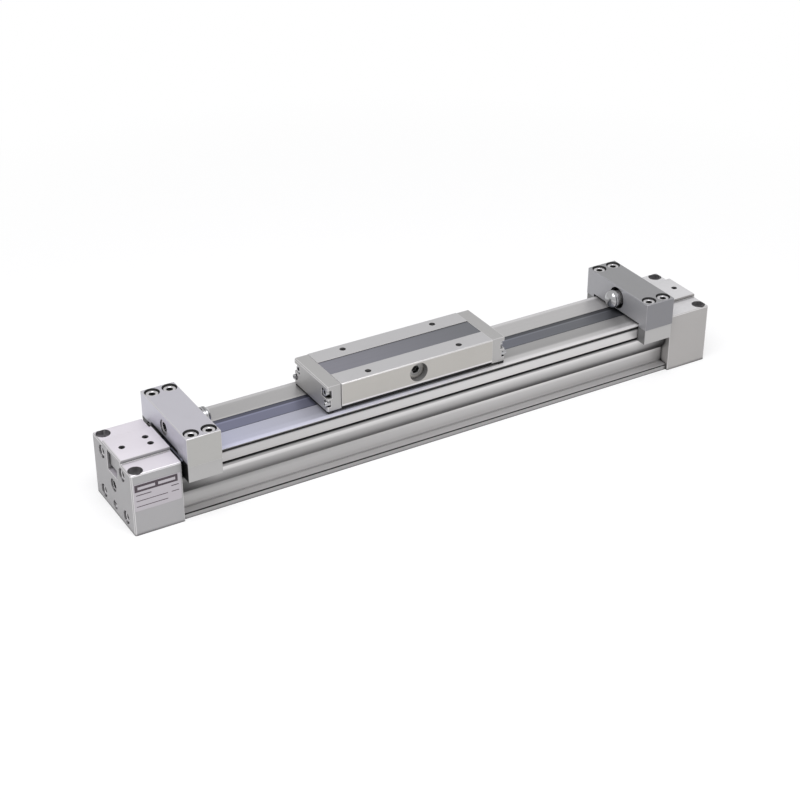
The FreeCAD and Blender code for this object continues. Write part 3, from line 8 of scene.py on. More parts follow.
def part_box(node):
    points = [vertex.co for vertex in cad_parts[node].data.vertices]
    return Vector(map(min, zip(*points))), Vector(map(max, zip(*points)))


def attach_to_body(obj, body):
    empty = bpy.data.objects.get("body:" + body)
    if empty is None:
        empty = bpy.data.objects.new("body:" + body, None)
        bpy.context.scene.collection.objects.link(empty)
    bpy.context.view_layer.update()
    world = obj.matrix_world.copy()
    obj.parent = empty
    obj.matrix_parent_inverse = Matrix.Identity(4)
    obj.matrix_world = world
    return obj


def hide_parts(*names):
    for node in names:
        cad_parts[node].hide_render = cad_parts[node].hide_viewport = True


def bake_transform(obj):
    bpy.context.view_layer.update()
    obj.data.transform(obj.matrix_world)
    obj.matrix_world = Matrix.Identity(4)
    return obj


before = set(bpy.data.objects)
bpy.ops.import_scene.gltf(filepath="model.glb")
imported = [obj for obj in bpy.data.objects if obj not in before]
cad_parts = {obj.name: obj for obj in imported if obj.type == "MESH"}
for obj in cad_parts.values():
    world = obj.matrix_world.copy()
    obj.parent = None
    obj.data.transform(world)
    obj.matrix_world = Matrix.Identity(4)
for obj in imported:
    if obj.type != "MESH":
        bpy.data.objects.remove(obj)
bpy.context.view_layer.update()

MM = 0.001

ENDS = (("left", -1), ("right", 1))

# The photograph's camera, from a fit to the edges of the head covers and the tube
PHOTO_WIDTH = 800
FOCAL_PIXELS = 1783
SENSOR = 36
CAMERA_PLACE = (-0.5345, -0.8793, 0.6172)
CAMERA_YAW = math.radians(30.57)
CAMERA_PITCH = math.radians(30.30)

# Heights and places that several pieces share, in millimetres
BORE_HEIGHT = 17.5
PORT_X = 203.5
COVER_FRONT = -30.0
COVER_BACK = 30.0
BELT_TIP = 213.0
BELT_SEAT = 30.8
BAND_SEAT = 40.2
RAIL_TOP = 40.4
HOLDER_INNER = 160.6
HOLDER_OUTER = 183.4
HOLDER_SCREW_X = (166.05, 177.95)
HOLDER_SCREW_Y = 28.75
HOLDER_SCREW_SEAT = 54.0
TIE_PLACES = ((15.6, 36.5), (-15.6, 36.5), (17.5, 7.0), (-17.5, 7.0))
TIE_SEAT = 213.0
STOP_HEIGHT = 51.0
BUMPER_TIP = 152.0
table_low, table_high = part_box("slide_table")
CARRIAGE_X = (table_low.x + table_high.x) / 2 / MM
TABLE_TOP = table_high.z / MM
END_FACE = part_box("end_cover_right")[1].x / MM - CARRIAGE_X

# The painted deep shade between the holders and the head covers reaches up to this height, and less
# over the ridges
SHADE_HEIGHT = 44.8
RIDGE_HALF = 20.0
RIDGE_RISE = 2.4


# Shader maths


class Wire:
    """A shader socket that Python's own operators work on."""

    def __init__(self, nodes, socket):
        self.nodes = nodes
        self.socket = socket

    def maths(self, operation, *values):
        return self.nodes.node("ShaderNodeMath", {"operation": operation}, dict(enumerate(values)))

    def __add__(self, other):
        return self.maths("ADD", self, other)

    def __sub__(self, other):
        return self.maths("SUBTRACT", self, other)

    def __rsub__(self, other):
        return self.maths("SUBTRACT", other, self)

    def __mul__(self, other):
        return self.maths("MULTIPLY", self, other)

    def __abs__(self):
        return self.maths("ABSOLUTE", self)

    __radd__ = __add__
    __rmul__ = __mul__

    def larger(self, other):
        """The larger one of the two values."""
        return self.maths("MAXIMUM", self, other)

    def within(self, low, high):
        """0 below low, 1 above high, and straight between."""
        node = {"interpolation_type": "LINEAR", "clamp": True}
        return self.nodes.node("ShaderNodeMapRange", node, {0: self, 1: low, 2: high, 3: 0.0, 4: 1.0})


class Nodes:
    """The nodes of a material or the world, which all come from one method."""

    def __init__(self, owner):
        owner.use_nodes = True
        self.tree = owner.node_tree

    def node(self, kind, settings=None, values=None, out=0):
        made = self.tree.nodes.new(kind)
        for key, value in (settings or {}).items():
            if key == "stops":
                self.set_stops(made.color_ramp, value)
            else:
                setattr(made, key, value)
        for key, value in (values or {}).items():
            self.feed(made.inputs[key], value)
        return Wire(self, made.outputs[out])

    def set_stops(self, ramp, stops):
        ends = [ramp.elements[0], ramp.elements[-1]]
        for element, (position, colour) in zip(ends, (stops[0], stops[-1])):
            element.position = position
            element.color = (*colour, 1.0)
        for position, colour in stops[1:-1]:
            ramp.elements.new(position).color = (*colour, 1.0)

    def feed(self, socket, value):
        if isinstance(value, Wire):
            self.tree.links.new(value.socket, socket)
        else:
            socket.default_value = value


class Paint(Nodes):
    """A material of one Principled shader, with methods for the nodes that feed it."""

    def __init__(self, name, colour, roughness, metallic=0.0):
        self.material = bpy.data.materials.new(name)
        super().__init__(self.material)
        self.shader = self.tree.nodes["Principled BSDF"]
        self.colour = (*colour, 1.0)
        self.put("Base Color", self.colour)
        self.put("Roughness", roughness)
        self.put("Metallic", metallic)
        self.place = self.node("ShaderNodeTexCoord", out="Object")
        self.x, self.y, self.z = (self.axis(i) for i in range(3))

    def put(self, name, value):
        self.feed(self.shader.inputs[name], value)

    def axis(self, index):
        """One of the object's coordinates, in millimetres."""
        return self.node("ShaderNodeSeparateXYZ", None, {0: self.place}, index) * (1 / MM)

    def graph(self, value, points):
        """Half the height of a line through (millimetres, height) points, as a ramp holds no more than 1."""
        first, last = points[0][0], points[-1][0]
        stops = [((place - first) / (last - first), (height / 2,) * 3) for place, height in points]
        along = (value - first) * (1 / (last - first))
        return self.node("ShaderNodeValToRGB", {"stops": stops}, {0: along})

    def hollow(self, reach=2.5, shut=0.35, clear=0.8):
        """Painted shade: 1 in narrow grooves, holes and joints, and 0 on open faces, by what stands within
        reach.
        """
        seen = self.node("ShaderNodeAmbientOcclusion", {"samples": 8}, {"Distance": reach * MM}, "AO")
        return 1 - seen.within(shut, clear)

    def noise(self, scale, stretch=(1, 1, 1), detail=3.0):
        """Soft random grey from 0 to 1, at so many cells to the metre."""
        cells = {"Vector": self.place, "Scale": tuple(scale * s for s in stretch)}
        place = self.node("ShaderNodeMapping", None, cells)
        return self.node("ShaderNodeTexNoise", None, {"Vector": place, "Scale": 1.0, "Detail": detail}, "Fac")

    def mix(self, share, first, second):
        def colour(value):
            return value if isinstance(value, Wire) else (*value[:3], 1.0)

        settings = {"data_type": "RGBA", "clamp_factor": True}
        values = {0: share, 6: colour(first), 7: colour(second)}
        return self.node("ShaderNodeMix", settings, values, 2)

    def shade(self, share, amount):
        """The base colour, darker by the amount where the share is 0 and lighter where it is 1."""
        dark = [c * (1 - amount) for c in self.colour[:3]]
        light = [min(1.0, c * (1 + amount)) for c in self.colour[:3]]
        return self.mix(share, dark, light)

    def bump(self, height, depth):
        relief = {"Height": height, "Distance": depth, "Strength": 1.0}
        self.put("Normal", self.node("ShaderNodeBump", None, relief, "Normal"))


def drawn_metal(name, colour, roughness, metallic, lines, tone):
    """Metal with fine lines along X, as an extrusion or a rolled strip has."""
    paint = Paint(name, colour, roughness, metallic)
    fine = paint.noise(lines, (0.004, 1, 1), 4.0)
    broad = paint.noise(lines / 9, (0.01, 1, 1), 2.0)
    cloud = paint.noise(35, (0.5, 1, 1), 3.0)
    paint.grain = (fine * 0.4 + broad * 0.35 + cloud * 0.25) * (4 * tone) + (1 - 2 * tone)
    paint.put("Roughness", roughness - 0.06 + fine * 0.12)
    paint.bump(fine * 0.7 + broad * 0.3, 0.02 * MM)
    return paint


def strip_metal(name, left, right, ends, across, lines):
    """Rolled strip with painted light: its colour goes over from the left end to the right, with painted
    highlight and shade across Y.
    """
    paint = drawn_metal(name, left, 0.34, 0.8, lines, 0.08)
    # Painted highlight and shade across the strip, painted shade where it is shut in, and a colour that
    # changes from the left end to the right as painted light
    level = paint.graph(paint.y, across) * paint.grain * (1 - paint.hollow(1.2) * 0.5)
    bright = paint.mix(paint.x.within(*ends), [c * 2 for c in left], [c * 2 for c in right])
    paint.put("Base Color", paint.mix(level, (0, 0, 0), bright))
    return paint.material


# Painted light and shade on the tube's metal: its side by the height and its top by the place across, at
# the left end and right of the middle, as (millimetres, level) points. They give painted highlights under the
# grooves and on the rail's front, and painted shade on the barrel and in the grooves.
SIDE_LEFT = ((0, 0.35), (0.9, 0.66), (3.1, 0.70), (3.2, 0.18), (4.4, 0.18), (4.55, 1.05), (5, 1.1),
             (7, 0.95), (10, 0.9), (12.6, 0.85), (15.3, 0.5), (15.6, 0.36), (19, 0.46), (22, 0.62),
             (24.6, 0.80), (26, 1.3), (27.6, 1.4), (28.3, 0.65), (29.6, 0.55), (31.5, 0.95), (37.2, 1.05),
             (37.8, 0.75), (40, 0.7), (41, 1.0))
SIDE_RIGHT = ((0, 0.4), (0.9, 0.72), (3.1, 0.74), (3.2, 0.45), (4.3, 0.45), (4.5, 1.2), (5, 1.2), (7, 1.0),
              (10, 1.0), (13, 1.1), (15.3, 1.5), (15.6, 0.08), (17.5, 0.14), (19.5, 0.36), (22, 0.70),
              (25, 1.0), (27, 1.3), (28.2, 1.5), (28.9, 0.6), (29.6, 0.5), (31.5, 1.25), (37.2, 1.3),
              (37.8, 0.75), (40, 0.7), (41, 1.25))
TOP_LEFT = ((-26, 1.24), (-8, 1.2), (7, 1.0), (8, 1.05), (9.5, 0.82), (26, 0.82))
TOP_RIGHT = ((-26, 1.3), (-19, 1.15), (-17, 0.72), (-8, 0.75), (7, 1.0), (8, 1.05), (26, 1.05))

# Where that goes over from left to right, the barrel's lower and upper edge, and the rail's rounded shoulder
TUBE_FADE = (-165, 50)
BARREL_LOW = (15.3, 15.6)
BARREL_HIGH = (28, 30)
RAIL_SHOULDER = (22.3, 22.8)


def tube_metal():
    """The extrusion's metal, with painted light and shade: painted highlights on its flats, a barrel painted
    darker downwards and nearly black painted grooves.

    It has a painted shadow in the gap to the head covers, painted shade under the holders and a painted
    bluish reflection on the front of the rail's left half. The rail's rounded shoulders are the least
    metallic."""
    metallic = 0.72
    paint = drawn_metal("tube_aluminium", (0.47, 0.463, 0.465), 0.42, metallic, 2600, 0.04)
    right = paint.x.within(*TUBE_FADE)
    left = 1 - right
    on_top = paint.z.within(RAIL_TOP - 0.2, RAIL_TOP)
    side = paint.graph(paint.z, SIDE_LEFT) * left + paint.graph(paint.z, SIDE_RIGHT) * right
    top = paint.graph(paint.y, TOP_LEFT) * left + paint.graph(paint.y, TOP_RIGHT) * right
    level = side * (1 - on_top) + top * on_top
    # Painted shade in the grooves and joints
    level = level * paint.grain * (1 - paint.hollow() * (0.8 - on_top * 0.7))
    # A painted shadow, nearly black, on the tube in the gap between the holders and the head covers
    cover_gap_shadow = abs(paint.x).within(HOLDER_OUTER - 0.2, HOLDER_OUTER + 0.2)
    level = level * (1 - cover_gap_shadow * paint.z.within(*BARREL_HIGH) * 0.95)
    # Painted shade on the tube's side under the holders, darkest towards the head covers
    under = paint.z.within(*BARREL_LOW) * (1 - on_top)
    level = level * (1 - abs(paint.x).within(HOLDER_INNER + 0.4, HOLDER_OUTER - 1.4) * under * 0.75)
    # A painted bluish reflection on the front of the rail's top in its left half
    painted_blue_reflection = on_top * left * (paint.y * -1).within(7, 8)
    bright = paint.mix(painted_blue_reflection, (0.95, 0.935, 0.93), (0.785, 0.80, 1.0))
    paint.put("Base Color", paint.mix(level, (0, 0, 0), bright))
    paint.put("Metallic", metallic - on_top * abs(paint.y).within(*RAIL_SHOULDER) * 0.6)
    return paint.material


# The colour of painted highlights along rounded edges and under a hem
PAINTED_HIGHLIGHT = (0.64, 0.63, 0.63)


def blasted_metal(name, colour, roughness, metallic, top=None, shut=0.35, clear=0.8, outer=None, inner=None,
                  hem=None):
    """Metal that was milled, blasted and anodised: a fine even grain with faint clouds, and painted shade in
    its grooves, holes and joints.

    Its upper faces may be painted lighter, as painted light from above, and the holders' faces across
    the tube get painted light or shade: outer next to the head covers, with painted deep shade near the
    rail, and inner towards the carriage. A hem is the height under which a face gets a painted highlight."""
    paint = Paint(name, colour, roughness, metallic)
    grain = paint.noise(5200, detail=2.0)
    cloud = paint.noise(60, detail=4.0)
    # bare is the base colour, into which the painted light and shade of the faces is mixed below
    bare = (*colour, 1.0)
    # Upper faces take the top colour, as painted light from above
    if top:
        normal = paint.node("ShaderNodeNewGeometry", out="Normal")
        up = paint.node("ShaderNodeSeparateXYZ", None, {0: normal}, 2)
        bare = paint.mix(up.within(0.6, 0.9), colour, top)
    # Painted shade in grooves, holes and joints
    painted_shade = paint.hollow(2.5, shut, clear)
    # Outer faces next to the head covers take their own colour, lighter on the holders as painted light, and
    # painted deep shade below the shade height
    if outer:
        near_cover = abs(paint.x).within(HOLDER_OUTER - 0.1, HOLDER_OUTER + 0.05)
        bare = paint.mix(near_cover, bare, outer)
        height = paint.z + abs(paint.y).within(RIDGE_HALF - 0.5, RIDGE_HALF + 0.5) * RIDGE_RISE
        painted_shade = painted_shade + near_cover * (1 - height.within(SHADE_HEIGHT - 0.4, SHADE_HEIGHT + 0.4))
    # Inner faces towards the carriage: painted shade on the clamps and painted light on the right holder
    if inner:
        bare = paint.mix(abs(paint.x).within(HOLDER_INNER - 0.05, HOLDER_INNER + 0.1), inner, bare)
    # A painted highlight under the hem
    if hem:
        bare = paint.mix(paint.z.within(hem - 0.2, hem + 0.2), PAINTED_HIGHLIGHT, bare)
    level = (1 - painted_shade * 0.96) * (0.93 + (cloud * 0.7 + grain * 0.3) * 0.14)
    paint.put("Base Color", paint.mix(level, (0, 0, 0), bare))
    paint.put("Roughness", roughness - 0.05 + grain * 0.1)
    paint.bump(grain, 0.012 * MM)
    return paint.material


def plated_metal(name, colour, roughness, metallic=1.0, reach=1.2):
    """A plated or turned surface, with faint turning marks and stains, and painted shade where it is shut in.
    """
    paint = Paint(name, colour, roughness, metallic)
    stain = paint.noise(600, detail=4.0)
    dark = [c * 0.05 for c in colour]
    paint.put("Base Color", paint.mix(paint.hollow(reach, 0.2, 0.6), paint.shade(stain, 0.12), dark))
    paint.put("Roughness", roughness - 0.08 + stain * 0.16)
    paint.bump(paint.noise(9000, detail=1.0), 0.006 * MM)
    return paint.material


def moulded(name, colour, roughness, grain, tone=0.08, depth=0.02):
    """Rubber, resin or plastic with a fine moulded skin."""
    paint = Paint(name, colour, roughness)
    skin = paint.noise(grain, detail=3.0)
    paint.put("Base Color", paint.shade(skin, tone))
    paint.put("Roughness", roughness - 0.05 + skin * 0.1)
    paint.bump(skin, depth * MM)
    return paint.material


# Painted light and shade across the two strips, a painted reflection streak and painted shade along
# their edges, as (millimetres, level) points
BAND_ACROSS = ((-7.5, 0.7), (-6.7, 0.75), (-6.2, 1.0), (2.0, 1.0), (2.7, 1.35), (3.6, 1.3), (4.2, 0.5),
               (7.5, 0.4))
COVER_ACROSS = ((-9, 0.9), (-7, 1.0), (6.5, 1.0), (9, 0.7))

TUBE = tube_metal()
# The fifth value of these metals is the colour of their upper faces, painted lighter as light from above
CASTING = blasted_metal("cover_aluminium", (0.37, 0.365, 0.37), 0.50, 0.5, (0.70, 0.665, 0.71),
                        shut=0.4, clear=0.95)
CASTING_RIGHT = blasted_metal("right_cover_aluminium", (0.397, 0.385, 0.376), 0.50, 0.5,
                              (0.64, 0.635, 0.64), shut=0.4, clear=0.95)
MACHINED = blasted_metal("machined_aluminium", (0.445, 0.43, 0.405), 0.42, 0.65, (0.505, 0.50, 0.505),
                         hem=45.3)
END_COVER = blasted_metal("end_cover_aluminium", (0.40, 0.395, 0.39), 0.42, 0.65, (0.42, 0.415, 0.41))
# The holders' and clamps' metal, with painted light and shade on their faces across the tube; the right
# holder gets a darker copy
HOLDER_LIGHT = blasted_metal("holder_aluminium_light", (0.42, 0.415, 0.40), 0.42, 0.6, (0.50, 0.49, 0.53),
                             outer=(0.54, 0.535, 0.59))
CLAMP_LIGHT = blasted_metal("clamp_aluminium_light", (0.42, 0.415, 0.41), 0.42, 0.6,
                            outer=(0.42, 0.415, 0.41), inner=(0.20, 0.20, 0.20))
HOLDER_DARK = blasted_metal("holder_aluminium_dark", (0.22, 0.22, 0.232), 0.42, 0.6, (0.29, 0.29, 0.295),
                            outer=(0.29, 0.29, 0.30), inner=(0.37, 0.37, 0.385))
# Painted highlights for rounded edges, lighter than the metals they border
EDGE_LIGHT = blasted_metal("painted_edge_highlight", PAINTED_HIGHLIGHT, 0.32, 0.6)
EDGE_DARK = blasted_metal("painted_edge_highlight_dark", (0.40, 0.40, 0.42), 0.34, 0.6)
BAND_STEEL = strip_metal("rolled_band_steel", (0.188, 0.194, 0.28), (0.14, 0.145, 0.16), (-150, 120),
                         BAND_ACROSS, 5200)
COVER_STEEL = strip_metal("top_cover_steel", (0.25, 0.248, 0.285), (0.165, 0.17, 0.185), (-70, 45),
                          COVER_ACROSS, 4200)
ZINC = plated_metal("zinc_plated_steel", (0.62, 0.61, 0.62), 0.30, 0.85)
BRIGHT = plated_metal("bright_steel", (0.43, 0.43, 0.44), 0.20)
BLACK_STEEL = plated_metal("blackened_steel", (0.02, 0.02, 0.022), 0.45, 0.4)
PLUG_STEEL = plated_metal("plug_steel", (0.30, 0.295, 0.29), 0.38, 0.6)
# Paints for sockets and the walls of holes, all painted shade: near-black colours, and a metal darkened by
# what shuts it in
SOCKET = moulded("socket_shade", (0.006, 0.006, 0.006), 0.8, 2000)
DRILLED = plated_metal("drilled_wall", (0.32, 0.315, 0.32), 0.36, 0.85, reach=3.2)
HOLE = moulded("hole_wall_shade", (0.03, 0.03, 0.03), 0.6, 2000)
BORE = moulded("bored_wall_shade", (0.14, 0.138, 0.135), 0.5, 2000)
RUBBER = moulded("black_rubber", (0.006, 0.006, 0.006), 0.75, 1800)
BELT = moulded("belt_elastomer", (0.03, 0.03, 0.032), 0.45, 1500)
RESIN = moulded("white_resin", (0.70, 0.69, 0.64), 0.42, 1300, tone=0.03)
MAGNET = moulded("magnet_strip", (0.05, 0.045, 0.042), 0.55, 2400)
LABEL = moulded("blank_label_film", (0.42, 0.395, 0.42), 0.35, 900, tone=0.02, depth=0.004)
INK = moulded("label_ink", (0.05, 0.035, 0.045), 0.45, 900)


# Making pieces

# Nodes with holes near their edges, whose large faces are made three-cornered before the edges are rounded
CROWDED = ("stop_holder_left", "stop_holder_right")
SHARP_ANGLE = math.radians(20)


def finish_mesh(bm, name, *paints):
    """A mesh object at the origin, smooth apart from the edges that turn more than the sharp angle."""
    mesh = bpy.data.meshes.new(name)
    bm.to_mesh(mesh)
    bm.free()
    if "custom_normal" in mesh.attributes:
        mesh.attributes.remove(mesh.attributes["custom_normal"])
    for paint in paints:
        mesh.materials.append(paint)
    mesh.polygons.foreach_set("use_smooth", [True] * len(mesh.polygons))
    mesh.set_sharp_from_angle(angle=SHARP_ANGLE)
    made = bpy.data.objects.new(name, mesh)
    bpy.context.scene.collection.objects.link(made)
    return made


def attach(piece, body, slot, *nodes):
    if nodes:
        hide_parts(*nodes)
    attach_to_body(piece, body)


def turns(face, low, high, inward=False):
    """How many of a face's edges turn by more than low and less than high, in degrees."""
    edges = [e for e in face.edges if e.is_manifold and not (inward and e.is_convex)]
    return sum(math.radians(low) < e.calc_face_angle(0) < math.radians(high) for e in edges)


def in_hole(face):
    """Whether a face is a piece of a round hole's wall or belongs to a hexagon socket."""
    return turns(face, 0.6, 25, True) > 1 or turns(face, 55, 65, True) > 1 or turns(face, 80, 100, True) == 6


def refine(node, body, slot, paint, edge, width, shade):
    """A copy of a CAD node with its seams merged and its straight edges rounded, the rounding in the edge
    paint, which on most nodes is a painted highlight.

    With a shade, the walls of its holes get it, as painted shade."""
    bm = bmesh.new()
    bm.from_mesh(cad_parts[node].data)
    bmesh.ops.remove_doubles(bm, verts=bm.verts, dist=1e-6)
    bmesh.ops.dissolve_limit(bm, angle_limit=math.radians(0.4), verts=bm.verts, edges=bm.edges)
    if shade:
        for face in [f for f in bm.faces if in_hole(f)]:
            face.material_index = 2
    if node in CROWDED:
        bmesh.ops.triangulate(bm, faces=[f for f in bm.faces if len(f.verts) > 4])
    hard = [e for e in bm.edges if e.is_manifold and e.calc_face_angle(0) > math.radians(30)
            and not any(turns(f, 1, 25) for f in e.link_faces)]
    rounded = bmesh.ops.bevel(bm, geom=hard, offset=width * MM, offset_type="OFFSET", segments=2,
                              profile=0.5, affect="EDGES", clamp_overlap=False, material=-1,
                              loop_slide=False)["faces"]
    for face in rounded:
        face.material_index = 1
    bmesh.ops.triangulate(bm, faces=[f for f in bm.faces if len(f.verts) > 4])
    paints = [paint, edge, shade] if shade else [paint, edge]
    attach(finish_mesh(bm, node + "_finished", *paints), body, slot, node)


def lathe(profile, steps):
    """A closed turned shape about Z, from its (radius, height) points in millimetres."""
    bm = bmesh.new()
    points = [bm.verts.new((r * MM, 0, z * MM)) for r, z in profile]
    lines = [bm.edges.new(pair) for pair in zip(points, points[1:])]
    bmesh.ops.spin(bm, geom=points + lines, cent=(0, 0, 0), axis=(0, 0, 1), angle=math.tau, steps=steps,
                   use_merge=True)
    bmesh.ops.remove_doubles(bm, verts=bm.verts, dist=1e-7)
    bmesh.ops.recalc_face_normals(bm, faces=bm.faces)
    return bm


def rim(bm, height):
    """The open edges at one height."""
    return [e for e in bm.edges if e.is_boundary and all(abs(v.co.z - height * MM) < 1e-7 for v in e.verts)]


def socket_head(radius, height, across, depth, shank, length, knurled=False):
    """A screw with its head's seat at the origin. It has a hexagon socket, and its rim may be knurled."""
    edge = 0.09 * radius
    corner = across / math.sqrt(3)
    lead = 0.25
    steps = 72
    knurl = 0.975
    profile = [(corner + lead, height), (radius - edge, height), (radius, height - edge), (radius, edge),
               (radius - edge, 0), (shank, 0), (shank, -length), (0, -length)]
    bm = lathe(profile, steps)
    if knurled:
        for v in bm.verts:
            turn = math.atan2(v.co.y, v.co.x)
            if math.hypot(v.co.x, v.co.y) > (radius - edge / 2) * MM and round(turn / math.tau * steps) % 2:
                v.co.x *= knurl
                v.co.y *= knurl
    ring = rim(bm, height)
    hexagon = bmesh.ops.create_circle(bm, cap_ends=False, segments=6, radius=corner * MM)["verts"]
    bmesh.ops.rotate(bm, verts=hexagon, cent=(0, 0, 0), matrix=Matrix.Rotation(math.radians(30), 3, "Z"))
    bmesh.ops.translate(bm, verts=hexagon, vec=(0, 0, (height - lead) * MM))
    sides = [e for e in bm.edges if e.verts[0] in hexagon and e.verts[1] in hexagon]
    bmesh.ops.bridge_loops(bm, edges=ring + sides)
    wall = bmesh.ops.extrude_edge_only(bm, edges=sides)["geom"]
    low = [v for v in wall if isinstance(v, bmesh.types.BMVert)]
    bmesh.ops.translate(bm, verts=low, vec=(0, 0, -(depth - lead) * MM))
    lines = [e for e in wall if isinstance(e, bmesh.types.BMEdge)]
    floor = bmesh.ops.contextual_create(bm, geom=lines)["faces"]
    for face in floor + [f for f in wall if isinstance(f, bmesh.types.BMFace)]:
        face.material_index = 1
    bmesh.ops.recalc_face_normals(bm, faces=bm.faces)
    return bm


def scatter(bm, places):
    """One mesh with a copy of the shape at each place."""
    mesh = bpy.data.meshes.new("pattern")
    bm.to_mesh(mesh)
    bm.free()
    every = bmesh.new()
    for place in places:
        count = len(every.verts)
        every.from_mesh(mesh)
        every.verts.ensure_lookup_table()
        bmesh.ops.transform(every, matrix=place, verts=every.verts[count:])
    bpy.data.meshes.remove(mesh)
    return every


def at(x, y, z, facing="Z"):
    """A place in millimetres whose own Z looks along the named axis."""
    ways = {"Z": (0, 0, 1), "X": (1, 0, 0), "-X": (-1, 0, 0), "Y": (0, 1, 0)}
    turn = Vector((0, 0, 1)).rotation_difference(Vector(ways[facing])).to_matrix().to_4x4()
    return Matrix.Translation(Vector((x, y, z)) * MM) @ turn


def make_thread(radius, depth, pitch, length):
    """The crests of an internal thread, from the mouth at the origin downwards."""
    bm = bmesh.new()
    crest = radius - depth
    shape = [(radius, 0), (crest, -pitch * 0.25), (crest, -pitch * 0.4), (radius, -pitch * 0.65)]
    points = [bm.verts.new((r * MM, 0, z * MM)) for r, z in shape]
    lines = [bm.edges.new(pair) for pair in zip(points, points[1:])]
    rounds = int(length / pitch) - 1
    steps = 24
    bmesh.ops.spin(bm, geom=points + lines, cent=(0, 0, 0), axis=(0, 0, 1), angle=math.tau * rounds,
                   steps=steps * rounds, dvec=(0, 0, -pitch / steps * MM), use_merge=False)
    bmesh.ops.recalc_face_normals(bm, faces=bm.faces)
    if sum(f.normal.xy.dot(f.calc_center_median().xy) for f in bm.faces) > 0:
        bmesh.ops.reverse_faces(bm, faces=bm.faces)
    return bm


# Belt and band

# The bend radius of their ramps, and how far from the carriage's middle they are back in their seats
LIFT_BEND = 9.0
LIFT_SEAT = 57.0


def lift_path(seat_z, inner_z, inner_x, tip):
    """Middle line of one half, from the carriage's middle outwards, as (x, z) in millimetres."""
    rise = seat_z - inner_z
    slope = math.atan2(abs(rise), LIFT_SEAT - inner_x)
    reach = LIFT_BEND * math.tan(slope / 2)
    bend = [slope * i / 8 for i in range(9)]
    offsets = [(LIFT_BEND * math.sin(a), math.copysign(LIFT_BEND * (1 - math.cos(a)), rise)) for a in bend]
    outer = LIFT_SEAT + reach
    start = [(inner_x - reach + x, inner_z + z) for x, z in offsets]
    end = [(outer - x, seat_z - z) for x, z in reversed(offsets)]
    flat = [(outer + (tip - outer) * i / 60, seat_z) for i in range(1, 61)]
    return [(0, inner_z), (inner_x / 2, inner_z)] + start + end + flat


def make_half(node, end, side, heights, inner_x, width, thickness, paint, crown=None):
    """One half of a belt or band. It follows the carriage near it and stays at the head cover.

    The heights are those of its seat and inside the carriage. A crown gives its underside over the width."""
    path = lift_path(*heights, inner_x, BELT_TIP - side * CARRIAGE_X)
    bm = bmesh.new()
    bmesh.ops.create_grid(bm, x_segments=len(path) - 1, y_segments=8, size=0.5)
    for v in bm.verts:
        x, z = path[round((v.co.x + 0.5) * (len(path) - 1))]
        v.co = ((CARRIAGE_X + side * x) * MM, v.co.y * width * MM, (z + thickness / 2) * MM)
    if side < 0:
        bmesh.ops.reverse_faces(bm, faces=bm.faces)
    wall = bmesh.ops.extrude_face_region(bm, geom=list(bm.faces))["geom"]
    for v in [g for g in wall if isinstance(g, bmesh.types.BMVert)]:
        v.co.z -= thickness * MM
        if crown and abs(v.co.x / MM - CARRIAGE_X) > LIFT_SEAT:
            v.co.z = crown(v.co.y / MM) * MM
    bmesh.ops.recalc_face_normals(bm, faces=bm.faces)
    piece = finish_mesh(bm, node + "_" + end, paint)
    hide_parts(node)
    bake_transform(piece)


def belt_under(y):
    """The underside of the seated belt, which closes the bore's circle."""
    bore_radius = 12.56
    return BORE_HEIGHT + math.sqrt(bore_radius ** 2 - y ** 2)


def make_belts():
    for end, side in ENDS:
        make_half("dust_band", end, side, heights=(BAND_SEAT, 52.0), inner_x=34.0, width=14.6, thickness=0.3,
                  paint=BAND_STEEL)
        make_half("seal_belt", end, side, heights=(BELT_SEAT, 22.6), inner_x=36.0, width=12.0, thickness=1.2,
                  paint=BELT, crown=belt_under)


# Screws and other small pieces

# Cap screws: radius and height of the head, width and depth of its socket, and radius of the shank
FIXED_SCREW = (4.2, 5.0, 4.0, 2.6, 2.5)
END_SCREW = (2.6, 3.0, 2.5, 1.3, 1.5)
WIPER_SCREW = (1.8, 4.0, 1.5, 1.3, 1.0)

# The empty form on the label, as low x, high x, low z and high z of each line in millimetres
LABEL_LINES = ((-217.2, -189.0, 34.3, 36.0), (-217.2, -189.0, 30.9, 32.3), (-217.2, -215.2, 32.3, 34.3),
               (-190.6, -189.0, 32.3, 34.3), (-203.8, -201.8, 32.3, 34.3), (-216.5, -206.5, 28.3, 28.9),
               (-193.5, -188.6, 28.3, 28.9), (-216.5, -196.0, 24.3, 24.8), (-216.5, -196.0, 20.3, 20.8),
               (-193.5, -188.6, 24.3, 24.8))


